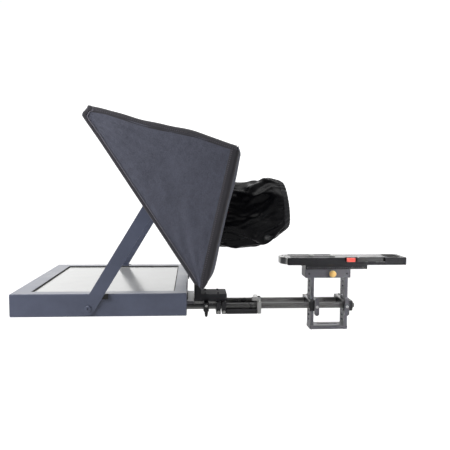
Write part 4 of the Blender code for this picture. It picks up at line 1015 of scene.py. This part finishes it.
def knurled(radius, length, ridges, depth, edge, waist=0.0, dish=0.0004):
    """A knob: rings along z whose radius carries a wave of ridges, with rounded rims, a dished face and a
    waist."""
    count = ridges * 4
    angle = TAU * np.arange(count) / count
    wave = depth * (0.5 + 0.5 * np.cos(ridges * angle))
    turn = np.linspace(0, math.pi / 2, 4)
    levels = [(0.0, 0.0, 0.0), (0.0, radius * 0.6, 0.0)]
    levels += [(edge * (1 - math.cos(a)), radius - edge * (1 - math.sin(a)), math.sin(a)) for a in turn]
    levels += [(length / 2, radius - waist, 1.0)]
    levels += [(length - edge * (1 - math.cos(a)), radius - edge * (1 - math.sin(a)), math.sin(a))
               for a in turn[::-1]]
    levels += [(length, radius * 0.72, 0.0), (length - dish, radius * 0.66, 0.0), (length - dish, 0.0, 0.0)]
    height, size, share = np.array(levels).T[:, :, None]
    reach = size - wave * share
    points = np.stack([reach * np.cos(angle), reach * np.sin(angle), np.broadcast_to(height, reach.shape)], -1)
    return solid(points, grid_faces(len(levels), count, wrap_columns=True))


def fitting(name, shapes, body, slot, look=None, sharp=35):
    """A piece of one or more small solids without UV, in its slot's finish or in another of the library's."""
    material = finish_library(bpy.context)[look or slot]
    return make_piece(name, make_mesh(name, joined(*shapes), sharp=sharp), material, body)


class TELEPROMPTER_OT_fasteners(FinishOperator, bpy.types.Operator):
    """Puts in the cap screws of the clamps, tower, tray and riser, and the rods' end plugs"""
    bl_idname = "teleprompter.fasteners"
    bl_label = "Fasteners"

    def execute(self, context):
        radius = context.scene.teleprompter_finishes.screw_radius
        pieces = []
        for node, body in (("base_clamp_screw", "base"), ("tower_clamp_screw", "carriage")):
            low, high, middle = box_faces(node)
            reach = (high[2] - low[2]) / 2
            heads = [side_screw(side * low[0], side, middle[1], middle[2], reach, high[0] - low[0])
                     for side in (-1, 1)]
            piece = fitting(node + "_heads", heads, body, "satin_silver")
            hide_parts(node)
            pieces.append(piece)

        foot_thickness = 0.0153
        foot_top = box_faces("tower_clamp_rear")[1][2] + foot_thickness
        places = [(x, y) for x in (-0.0215, 0.0215) for y in (-0.0845, -0.0560)]
        heads = [top_screw(x, y, foot_top, radius, radius * 0.9) for x, y in places]
        washers = [moved(slab(circle(radius * 1.55, 28), 0, 0.0004, 0.0001), (x, y, foot_top)) for x, y in places]
        pieces.append(fitting("tower_foot_screws", [*heads, *washers], "carriage", "black_anodised",
                              look="black_screw"))

        low, high, middle = box_faces("monitor_tray")
        inset = 0.009
        heads = [top_screw(x, y, low[2], radius, radius * 0.55, up=-1)
                 for x in (low[0] + inset, high[0] - inset) for y in (low[1] + inset, middle[1], high[1] - inset)]
        pieces.append(fitting("tray_screws", heads, "carriage", "satin_silver"))

        low, high, _ = box_faces("riser_foot_bar")
        ends = (low[1] + 0.0047, high[1] - 0.0047)
        heads = [top_screw(x, y, low[2], radius * 0.95, 0.0016, up=-1) for x in (-0.011, 0.011) for y in ends]
        low, high, middle = box_faces("riser_head")
        heads += [side_screw(side * high[0], side, y, middle[2], radius * 0.85, 0.0016)
                  for side in (-1, 1) for y in (low[1] + 0.0085, high[1] - 0.0085)]
        pieces.append(fitting("riser_screws", heads, "riser", "black_anodised", look="black_screw"))

        heads = []
        for node in ("rod_bridge_front", "rod_bridge_rear"):
            low, high, middle = box_faces(node)
            heads.append(side_screw(low[0], -1, middle[1], middle[2], radius * 1.1, 0.0024))
            heads += [top_screw(x, middle[1], high[2], radius * 0.8, 0.0014)
                      for x in (low[0] + 0.006, high[0] - 0.006)]
        pieces.append(fitting("bridge_screws", heads, "riser_carriage", "black_anodised", look="black_screw"))

        plugs, sockets = [], []
        for node in RODS:
            low, high, middle = box_faces(node)
            size = (high[0] - low[0]) / 2
            for y, way in ((low[1], -1), (high[1], 1)):
                ring = lathe([(0, 0), (0, size * 0.80), (0.0006, size * 0.84), (0.0013, size * 0.78),
                              (0.0016, size * 0.66), (0.0010, size * 0.58), (0.0010, 0)], 40)
                facing = {"across": X * way, "up": Z, "out": Y * way}
                plugs.append(moved(ring, (middle[0], y, middle[2]), **facing))
                sockets.append(moved(screw_head(size * 0.42, 0.0014), (middle[0], y + way * 0.0006, middle[2]),
                                     **facing))
        pieces.append(fitting("rod_end_plugs", plugs, "base", "black_rubber"))
        pieces.append(fitting("rod_end_screws", sockets, "base", "satin_silver"))

        low, high, _ = box_faces("base_plate")
        heads = [top_screw(x, y, high[2], radius * 1.15, 0.0018) for x in (-0.0125, 0.0125)
                 for y in (low[1] + 0.0085, high[1] - 0.0085)]
        pieces.append(fitting("base_plate_screws", heads, "base", "black_anodised", look="black_screw"))
        self.lay(*pieces)
        return {"FINISHED"}


class TELEPROMPTER_OT_monitor(FinishOperator, bpy.types.Operator):
    """Adds the screen's gasket, the case's vents, cover screws, feet, lamp and the power socket's pin"""
    bl_idname = "teleprompter.monitor"
    bl_label = "Monitor fittings"

    def execute(self, context):
        screen_low, screen_high, _ = box_faces("screen_panel")
        case_low, case_high, case_middle = box_faces("monitor_frame")
        margin = 0.005  # the case's window overlaps the screen by this much
        half_x = screen_high[0] - margin
        front, rear = screen_low[1] + margin, screen_high[1] - margin
        middle_y, half_y = (front + rear) / 2, (rear - front) / 2
        pieces = [self.gasket(half_x, half_y, middle_y, screen_high[2], case_high[2])]

        width, length, pitch = 0.0030, 0.034, 0.0062
        # The vents are thin near-black slabs under the case: painted shade standing for the open slots.
        vent = slab(rounded_rectangle(width, length, width * 0.49), -0.0004, 0.0, 0.0001)
        slots = [moved(vent, (index * pitch + x, case_middle[1] - 0.075, case_low[2]))
                 for index in range(-9, 10) for x in (-0.115, 0.115)]
        pieces.append(fitting("case_vents", slots, "carriage", "black_plastic", look="vent_shadow"))

        feet, spots = [], []
        for x in (-1, 1):
            for y in (case_low[1] + 0.030, case_high[1] - 0.030):
                foot = slab(circle(0.0075, 36), 0.0, 0.0022, 0.0007)
                feet.append(moved(foot, (x * (case_high[0] - 0.028), y, case_low[2]), across=X, up=-Y, out=-Z))
                spots.append((x * (case_high[0] - 0.010), y))
        spots += [(x, y) for x in (-0.09, 0.09) for y in (case_low[1] + 0.010, case_high[1] - 0.010)]
        screws = [top_screw(x, y, case_low[2] + 0.0001, 0.0021, 0.0009, up=-1) for x, y in spots]
        pieces.append(fitting("case_feet", feet, "carriage", "black_rubber"))
        pieces.append(fitting("case_screws", screws, "carriage", "black_anodised", look="black_screw"))

        button = box_faces("power_button")[2]
        lamp = on_rear(lathe([(0, 0), (0, 0.0016), (0.0004, 0.0016), (0.0008, 0.0011), (0.0010, 0.0)], 20),
                       (button[0] - 0.012, case_high[1], button[2]))
        pieces.append(fitting("power_lamp", [lamp], "carriage", "black_plastic", look="lamp_green"))

        socket_low, socket_high, socket_middle = box_faces("power_socket")
        pin = on_rear(lathe([(0, 0), (0, 0.0009), (0.0076, 0.0009), (0.0083, 0.0005), (0.0085, 0)], 20),
                      (socket_middle[0], socket_low[1] + 0.0015, socket_middle[2]))
        rim = lathe([(0, 0.0058), (0, 0.0068), (0.0005, 0.0069), (0.0009, 0.0064), (0.0009, 0.0058)], 48, True)
        collar = on_rear(rim, (socket_middle[0], socket_high[1] - 0.0002, socket_middle[2]))
        pieces.append(fitting("power_socket_pin", [pin, collar], "carriage", "satin_silver"))
        self.lay(*pieces)
        return {"FINISHED"}

    @staticmethod
    def gasket(half_x, half_y, middle_y, low_z, high_z):
        """A black strip round the inside of the case's window: a small profile carried round its four
        sides."""
        profile = np.array([(0.0, 0.0002), (0.0, 1.0), (0.0013, 0.96), (0.0019, 0.80), (0.0021, 0.0)])
        inset, level = profile.T
        height = low_z + level * (high_z - low_z - 0.0003)
        corner = np.array([(1, 1), (-1, 1), (-1, -1), (1, -1)], float)
        half = np.array([half_x, half_y])
        points = np.stack([np.concatenate([corner * (half - step), np.full((4, 1), z)], 1)
                           for step, z in zip(inset, height)], 1)
        points[..., 1] += middle_y
        shape = solid(points, grid_faces(4, len(profile), wrap_rows=True, wrap_columns=True))
        return fitting("screen_gasket", [shape], "carriage", "black_rubber", sharp=25)


class TELEPROMPTER_OT_arms(FinishOperator, bpy.types.Operator):
    """Fits the arms' pivot screws and knurled knobs, and the glass frame's clips and corner screws"""
    bl_idname = "teleprompter.arms"
    bl_label = "Arms and glass frame"

    def execute(self, context):
        pieces = []
        for name, side in (("left", -1), ("right", 1)):
            low, high, middle = box_faces(f"arm_pivot_screw_{name}")
            arm_low, arm_high, _ = box_faces(f"arm_{name}")
            face = arm_high[0] if side > 0 else -arm_low[0]
            outer = high[0] if side > 0 else -low[0]
            head = screw_head((high[2] - low[2]) / 2, outer - face - 0.0003, 0.40)
            shank = slab(circle(0.0030, 24), face - 0.0035 - outer, 0.0, 0.0002)
            shapes = [on_side(head, side, (side * (face + 0.0003), *middle[1:])),
                      on_side(shank, side, (side * (face + 0.0006), *middle[1:]))]
            piece = fitting(f"arm_pivot_{name}", shapes, "carriage", "satin_silver", look="slate_paint")
            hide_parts(f"arm_pivot_screw_{name}")
            pieces.append(piece)

            low, high, middle = box_faces(f"arm_knob_{name}")
            outer = high[0] if side > 0 else -low[0]
            knob = knurled((high[2] - low[2]) / 2, outer - face - 0.0002, 28, 0.0006, 0.0006)
            shank = slab(circle(0.0030, 24), -0.0034, 0.0, 0.0002)
            place = (side * (face + 0.0002), *middle[1:])
            shapes = [on_side(knob, side, place), on_side(shank, side, place)]
            piece = fitting(f"arm_knob_grip_{name}", shapes, f"arm_knob_{name}", "black_plastic")
            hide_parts(f"arm_knob_{name}")
            pieces.append(piece)
        pieces += self.glass_fittings()
        self.lay(*pieces)
        return {"FINISHED"}

    @staticmethod
    def glass_fittings():
        """Clips with their screws behind the rails, and corner screws in front of them."""
        along = np.array([0.0, -math.sin(GLASS_LEAN), math.cos(GLASS_LEAN)])
        back = np.array(FOLD_AXIS)
        hinge = np.array(joint_place("glass_fold"))
        half = box_faces("glass_rail_right")[1][0]
        top = float((np.array(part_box("glass_rail_top")[1]) - hinge) @ along) - 0.0034
        bottom, rail = 0.010, 0.012
        clips, screws, front = [], [], []
        spots = [(side * (half - rail - 0.0005), up, side, 0) for side in (-1, 1) for up in (0.09, 0.19, 0.30)]
        spots += [(x, up, 0, end) for up, end in ((top - rail - 0.0015, 1), (bottom + rail + 0.0015, -1))
                  for x in (-0.11, 0.11)]
        for x, up, side, end in spots:
            outward = side * X if side else end * along
            centre = hinge + x * X + up * along + back * 0.0066
            sideways = np.cross(back, outward)
            plate = slab(rounded_rectangle(0.0135, 0.0110, 0.002), 0.0, 0.0012, 0.0003)
            clips.append(moved(plate, centre + outward * 0.0030, across=outward, up=sideways, out=back))
            screws.append(moved(screw_head(0.0022, 0.0012), centre + outward * 0.0058 + back * 0.0012,
                                across=outward, up=sideways, out=back))
        for x in (-1, 1):
            for up in (bottom + rail / 2, top - rail / 2):
                centre = hinge + x * (half - rail / 2) * X + up * along - back * 0.0065
                front.append(moved(screw_head(0.0024, 0.0010), centre, across=X, up=-along, out=-back))
        return [
            fitting("glass_clips", clips, "glass_frame", "black_plastic"),
            fitting("glass_clip_screws", screws, "glass_frame", "satin_silver"),
            fitting("rail_corner_screws", front, "glass_frame", "black_anodised", look="black_screw"),
        ]


class TELEPROMPTER_OT_controls(FinishOperator, bpy.types.Operator):
    """Knurls the brass knob, puts screws in the levers and wing knobs, and trims the camera plate"""
    bl_idname = "teleprompter.controls"
    bl_label = "Knobs and camera plate"

    def execute(self, context):
        pieces = []
        low, high, middle = box_faces("slide_lock_knob")
        collar = slab(circle(0.0045, 28), 0.0, 0.0022, 0.0003)
        grip = knurled((high[2] - low[2]) / 2, high[0] - low[0] - 0.0020, 24, 0.0007, 0.0010, waist=0.0003)
        shapes = [on_side(collar, 1, (low[0], *middle[1:])), on_side(grip, 1, (low[0] + 0.0020, *middle[1:]))]
        piece = fitting("slide_lock_grip", shapes, "slide_lock_knob", "brass")
        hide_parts("slide_lock_knob")
        pieces.append(piece)

        for body in ("bridge_knob_front", "bridge_knob_rear", "tower_lever"):
            hub = joint_place(body, "child")
            head = side_screw(box_faces(body)[1][0], 1, hub[1], hub[2], 0.0030, 0.0018)
            pieces.append(fitting(body + "_screw", [head], body, "satin_silver"))
        for body, name, radius, height, look, slot in (
                ("base_lever", "base_lever_screw", 0.0032, 0.0018, "black_screw", "black_anodised"),
                ("release_lever", "release_lever_pin", 0.0019, 0.0008, "satin_silver", "satin_silver")):
            hub = joint_place(body, "child")
            head = top_screw(hub[0], hub[1], box_faces(body)[1][2], radius, height)
            pieces.append(fitting(name, [head], body, slot, look=look))
        pieces += self.plate_trim()
        self.lay(*pieces)
        return {"FINISHED"}

    @staticmethod
    def plate_trim():
        """Ribbed pads, two barred camera screws, side marks, the nose's screws and the slide plate's stop
        screw."""
        low, high, _ = box_faces("camera_plate")
        length = high[1] - low[1] - 0.016
        long_pad, wide_pad = (slab(rounded_rectangle(*size, 0.002), 0.0, 0.0009, 0.0003)
                              for size in ((0.0085, length * 0.40), (0.043, 0.030)))
        pads = [moved(long_pad, (x, low[1] + 0.008 + length * 0.20, high[2])) for x in (-0.0215, 0.0135)]
        pads.append(moved(wide_pad, (-0.002, high[1] - 0.026, high[2])))
        ribs = [moved(slab(rounded_rectangle(0.0410, 0.0012, 0.0005), 0.0, 0.0014, 0.0004),
                      (-0.002, y, high[2])) for y in np.arange(high[1] - 0.037, high[1] - 0.013, 0.0030)]
        screws = []
        for y in (0.158, 0.206):
            rim = knurled(0.0062, 0.0020, 30, 0.0004, 0.0004)
            bar = slab(rounded_rectangle(0.0070, 0.0012, 0.0005), 0.0, 0.0022, 0.0002)
            screws += [moved(shape, (-0.004, y, high[2])) for shape in (rim, bar)]
        marks = []
        slide_low, slide_high, _ = box_faces("slide_plate")
        for index in range(27):
            y = slide_low[1] + 0.005 + 0.005 * index
            tall = 0.0036 if index % 5 == 0 else 0.0020
            mark = slab(rounded_rectangle(0.0004, tall, 0.00018, 2), 0.0, 0.00012, 0.00004)
            marks.append(on_side(mark, 1, (slide_high[0], y, slide_low[2] + 0.0018 + tall / 2)))
        nose_high = box_faces("camera_plate_nose")[1]
        nose = [top_screw(x, nose_high[1] - 0.0050, nose_high[2], 0.0020, 0.0009) for x in (-0.016, 0.016)]
        stop = top_screw(0.0, slide_high[1] - 0.007, slide_low[2], 0.0022, 0.0010, up=-1)
        return [
            fitting("camera_plate_pads", [*pads, *ribs], "platform", "black_rubber"),
            fitting("camera_screws", screws, "platform", "satin_silver"),
            fitting("slide_marks", marks, "riser", "satin_silver", look="mark_white"),
            fitting("nose_screws", nose, "platform", "black_anodised", look="black_screw"),
            fitting("slide_stop_screw", [stop], "riser", "satin_silver"),
        ]


# ---------------------------------------------------------------- finishes of the frame
RODS = ("rod_left", "rod_right")
# Parts whose finish differs from the common one of their slot; the rods' is a lighter copy of the black anodising,
# a painted highlight.
OWN_LOOKS = {**dict.fromkeys(RODS, "rod_anodised"), "tower_bracket": "tower_black"}
LIBRARY = {}

# Each hard finish: its colour, or the name of the one that the user sets; the colour of rubbed edges; then its
# roughness, metallic, grain scale, bump, wear, dust and coat.
HARD_FINISHES = {
    "slate_paint": ("paint", (0.24, 0.25, 0.30), 0.33, 0.0, 1100.0, 0.10, 0.45, 0.05, 0.45),
    "black_anodised": ("black", (0.20, 0.20, 0.21), 0.24, 0.55, 1500.0, 0.05, 0.45, 0.06, 0.25),
    "grey_anodised": ("grey", (0.42, 0.42, 0.43), 0.34, 0.3, 1500.0, 0.07, 0.6, 0.08, 0.2),
    "tower_black": ((0.020, 0.020, 0.024), (0.12, 0.12, 0.12), 0.62, 0.0, 1500.0, 0.10, 0.4, 0.03, 0.0),
    # The rods: a lighter copy of the black anodising, a painted highlight along them.
    "rod_anodised": ((0.130, 0.130, 0.128), (0.30, 0.30, 0.30), 0.30, 0.5, 1500.0, 0.04, 0.4, 0.04, 0.3),
    "black_plastic": ((0.020, 0.020, 0.022), (0.07, 0.07, 0.07), 0.45, 0.0, 1300.0, 0.20, 0.4, 0.12, 0.0),
    "black_rubber": ((0.012, 0.012, 0.012), (0.05, 0.05, 0.05), 0.72, 0.0, 1800.0, 0.25, 0.3, 0.2, 0.0),
    "vent_shadow": ((0.004, 0.004, 0.004), (0.02, 0.02, 0.02), 0.80, 0.0, 900.0, 0.1, 0.1, 0.05, 0.0),
    "black_screw": ((0.020, 0.020, 0.022), (0.25, 0.25, 0.25), 0.30, 0.7, 1800.0, 0.05, 0.7, 0.05, 0.0),
    "red_plastic": ((0.92, 0.110, 0.080), (0.95, 0.35, 0.30), 0.32, 0.0, 1200.0, 0.06, 0.4, 0.04, 0.3),
    "light_guide": ((0.70, 0.71, 0.72), (0.85, 0.85, 0.85), 0.25, 0.0, 500.0, 0.05, 0.3, 0.1, 0.0),
    "mark_white": ((0.60, 0.60, 0.60), (0.30, 0.30, 0.30), 0.60, 0.0, 2000.0, 0.1, 0.2, 0.1, 0.0),
    "lamp_green": ((0.05, 0.30, 0.08), (0.20, 0.45, 0.20), 0.15, 0.0, 900.0, 0.02, 0.1, 0.02, 0.5),
}


def finish_library(context):
    """The materials of the hard parts, made once: one for each of the record's slots and a few for small
    fittings."""
    if LIBRARY:
        return LIBRARY
    colours = context.scene.teleprompter_finishes
    hood = context.scene.teleprompter_hood
    for name, (colour, *values) in HARD_FINISHES.items():
        chosen = getattr(colours, colour) if isinstance(colour, str) else colour
        LIBRARY[name] = hard_finish(name, chosen, *values)
    LIBRARY.update({
        "satin_silver": turned_metal("satin_silver", (0.56, 0.56, 0.55), 0.30),
        "brass": turned_metal("brass", (0.90, 0.60, 0.22), 0.34),
        "splitter_glass": glass_finish(),
        "screen_film": screen_finish(colours.screen),
        "board": board_finish(),
        "hood_cloth": cloth_finish("hood_nylon_plain", hood.cloth, **HOOD_WEAVE),
        "sleeve_cloth": cloth_finish("sleeve_nylon_plain", hood.sleeve, **SLEEVE_WEAVE),
    })
    return LIBRARY


class TELEPROMPTER_OT_finishes(FinishOperator, bpy.types.Operator):
    """Gives every part of the frame the finish of its material slot"""
    bl_idname = "teleprompter.finishes"
    bl_label = "Finishes"

    def execute(self, context):
        looks = finish_library(context)
        for part in frame["record"]["subparts"]:
            look = OWN_LOOKS.get(part["node"], part["material_slot"])
            for place in NODES[part["node"]].material_slots:
                place.material = looks[look]
        return {"FINISHED"}


class TELEPROMPTER_OT_stage(FinishOperator, bpy.types.Operator):
    """Lays the pale floor and sets the soft studio light and the camera"""
    bl_idname = "teleprompter.stage"
    bl_label = "Stage"

    def execute(self, context):
        sizes = context.scene.teleprompter_stage
        self.floor(sizes)
        world = bpy.data.worlds.new("white_surroundings")
        world.use_nodes = True
        self.surroundings(world.node_tree, sizes)
        context.scene.world = world
        self.light("key", place=(0.62, -1.00, 0.62), target=(0.15, -0.20, 0.15), size=0.6, power=sizes.key)
        self.light("top", place=(-0.2, -0.1, 2.0), target=(0.0, -0.1, 0.1), size=1.5, power=sizes.fill)
        self.light("riser_fill", place=(0.9, 0.95, 0.35), target=(0.0, 0.27, 0.06), size=0.25,
                   power=sizes.riser_fill, spread=math.radians(22))
        self.camera(context)
        context.scene.view_settings.view_transform = "Standard"
        return {"FINISHED"}

    @staticmethod
    def surroundings(tree, sizes):
        """White all round where it is seen; its light is strong from behind the prompter and weak from the
        side of the camera, as a ramp on the x of the direction, and strongest near the middle of that
        side."""
        way = put(tree, "SeparateXYZ", {0: put(tree, "TexCoord").outputs["Generated"]})
        behind = ranged(tree, way.outputs[0], -0.5, 0.7, 1.0, 0.0)
        above = ranged(tree, way.outputs[2], 0.2, 1.0, 0.0, 0.30)
        glow = ranged(tree, maths(tree, "ADD", behind, above), 0.0, 1.3, sizes.sky * 0.07, sizes.sky)
        glow = maths(tree, "MAXIMUM", glow, ranged(tree, way.outputs[0], -0.95, -0.80, 1.35, 0.0))
        seen = put(tree, "LightPath").outputs["Is Camera Ray"]
        strength = maths(tree, "MAXIMUM", glow, maths(tree, "MULTIPLY", seen, 1.02))
        background = tree.nodes["Background"]
        background.inputs[0].default_value = (1.0, 1.0, 1.0, 1.0)
        tree.links.new(strength, background.inputs[1])

    @staticmethod
    def floor(sizes):
        """A round floor: circles of growing radius on a polar grid."""
        radius = np.linspace(0, 1, 40) ** 1.6 * sizes.floor_radius
        angle = TAU * np.arange(96) / 96
        points = np.stack([radius[:, None] * np.cos(angle), radius[:, None] * np.sin(angle),
                           np.full((len(radius), len(angle)), sizes.floor_drop)], -1)
        shape = solid(points, grid_faces(len(radius), len(angle), wrap_columns=True))
        floor = bpy.data.objects.new("studio_floor", make_mesh("studio_floor", shape))
        bpy.context.scene.collection.objects.link(floor)
        made, tree, shader = blank_material("pale_floor")
        tone = effect(tree, "fine_grain", "Tone", Scale=120.0, Cloud_Scale=1.5)
        tree.links.new(mixed(tree, tone, (0.90, 0.90, 0.90, 1.0), (0.93, 0.93, 0.93, 1.0)),
                       shader.inputs["Base Color"])
        tree.links.new(ranged(tree, tone, 0.0, 1.0, 0.75, 0.85), shader.inputs["Roughness"])
        shader.inputs["Emission Color"].default_value = (1.0, 1.0, 1.0, 1.0)
        seen = put(tree, "LightPath").outputs["Is Camera Ray"]
        tree.links.new(maths(tree, "MULTIPLY", seen, 0.62), shader.inputs["Emission Strength"])
        floor.data.materials.append(made)
        return floor

    @staticmethod
    def light(name, place, target, size, power, spread=math.pi):
        """A square soft light aimed at a target."""
        lamp = bpy.data.lights.new(name, "AREA")
        lamp.size, lamp.energy, lamp.spread = size, power, spread
        holder = bpy.data.objects.new(name, lamp)
        bpy.context.scene.collection.objects.link(holder)
        way = np.array(target) - np.array(place)
        holder.rotation_euler = Vector(way).to_track_quat("-Z", "Y").to_euler()
        holder.location = place

    @staticmethod
    def camera(context):
        """The camera to the right of the prompter, its picture level along Y."""
        forward = np.array(CAMERA_AIM) / np.linalg.norm(CAMERA_AIM)
        up = np.cross(Y, forward)
        up /= np.linalg.norm(up)
        right = np.cross(forward, up)
        lens = bpy.data.cameras.new("studio_camera")
        lens.lens, lens.sensor_width = CAMERA_LENS, 36.0
        lens.clip_start, lens.clip_end = 0.01, 60.0
        holder = bpy.data.objects.new("studio_camera", lens)
        context.scene.collection.objects.link(holder)
        matrix = np.eye(4)
        matrix[:3] = np.stack([right, up, -forward, np.array(CAMERA_PLACE)], 1)
        holder.matrix_world = Matrix(matrix.tolist())
        context.scene.camera = holder


class TELEPROMPTER_PT_panel(bpy.types.Panel):
    """Lists the operators that finish the teleprompter."""
    bl_idname = "TELEPROMPTER_PT_panel"
    bl_label = "Teleprompter"
    bl_space_type = "VIEW_3D"
    bl_region_type = "UI"
    bl_category = "Teleprompter"

    def draw(self, context):
        for group in ("teleprompter_hood", "teleprompter_finishes", "teleprompter_stage"):
            box = self.layout.box()
            values = getattr(context.scene, group)
            for name in values.__annotations__:
                box.prop(values, name)
        for operator in OPERATORS:
            self.layout.operator(operator.bl_idname)


OPERATORS = (
    TELEPROMPTER_OT_hood,
    TELEPROMPTER_OT_sleeve,
    TELEPROMPTER_OT_fasteners,
    TELEPROMPTER_OT_monitor,
    TELEPROMPTER_OT_arms,
    TELEPROMPTER_OT_controls,
    TELEPROMPTER_OT_finishes,
    TELEPROMPTER_OT_stage,
)
CLASSES = (TeleprompterHood, TeleprompterFinishes, TeleprompterStage, *OPERATORS, TELEPROMPTER_PT_panel)


def register():
    for cls in CLASSES:
        bpy.utils.register_class(cls)
    bpy.types.Scene.teleprompter_hood = PointerProperty(type=TeleprompterHood)
    bpy.types.Scene.teleprompter_finishes = PointerProperty(type=TeleprompterFinishes)
    bpy.types.Scene.teleprompter_stage = PointerProperty(type=TeleprompterStage)


def unregister():
    del bpy.types.Scene.teleprompter_stage
    del bpy.types.Scene.teleprompter_finishes
    del bpy.types.Scene.teleprompter_hood
    for cls in reversed(CLASSES):
        bpy.utils.unregister_class(cls)


def main():
    register()
    bpy.ops.teleprompter.hood()
    bpy.ops.teleprompter.sleeve()
    bpy.ops.teleprompter.fasteners()
    bpy.ops.teleprompter.monitor()
    bpy.ops.teleprompter.arms()
    bpy.ops.teleprompter.controls()
    bpy.ops.teleprompter.finishes()
    bpy.ops.teleprompter.stage()


if __name__ == "__main__":
    main()
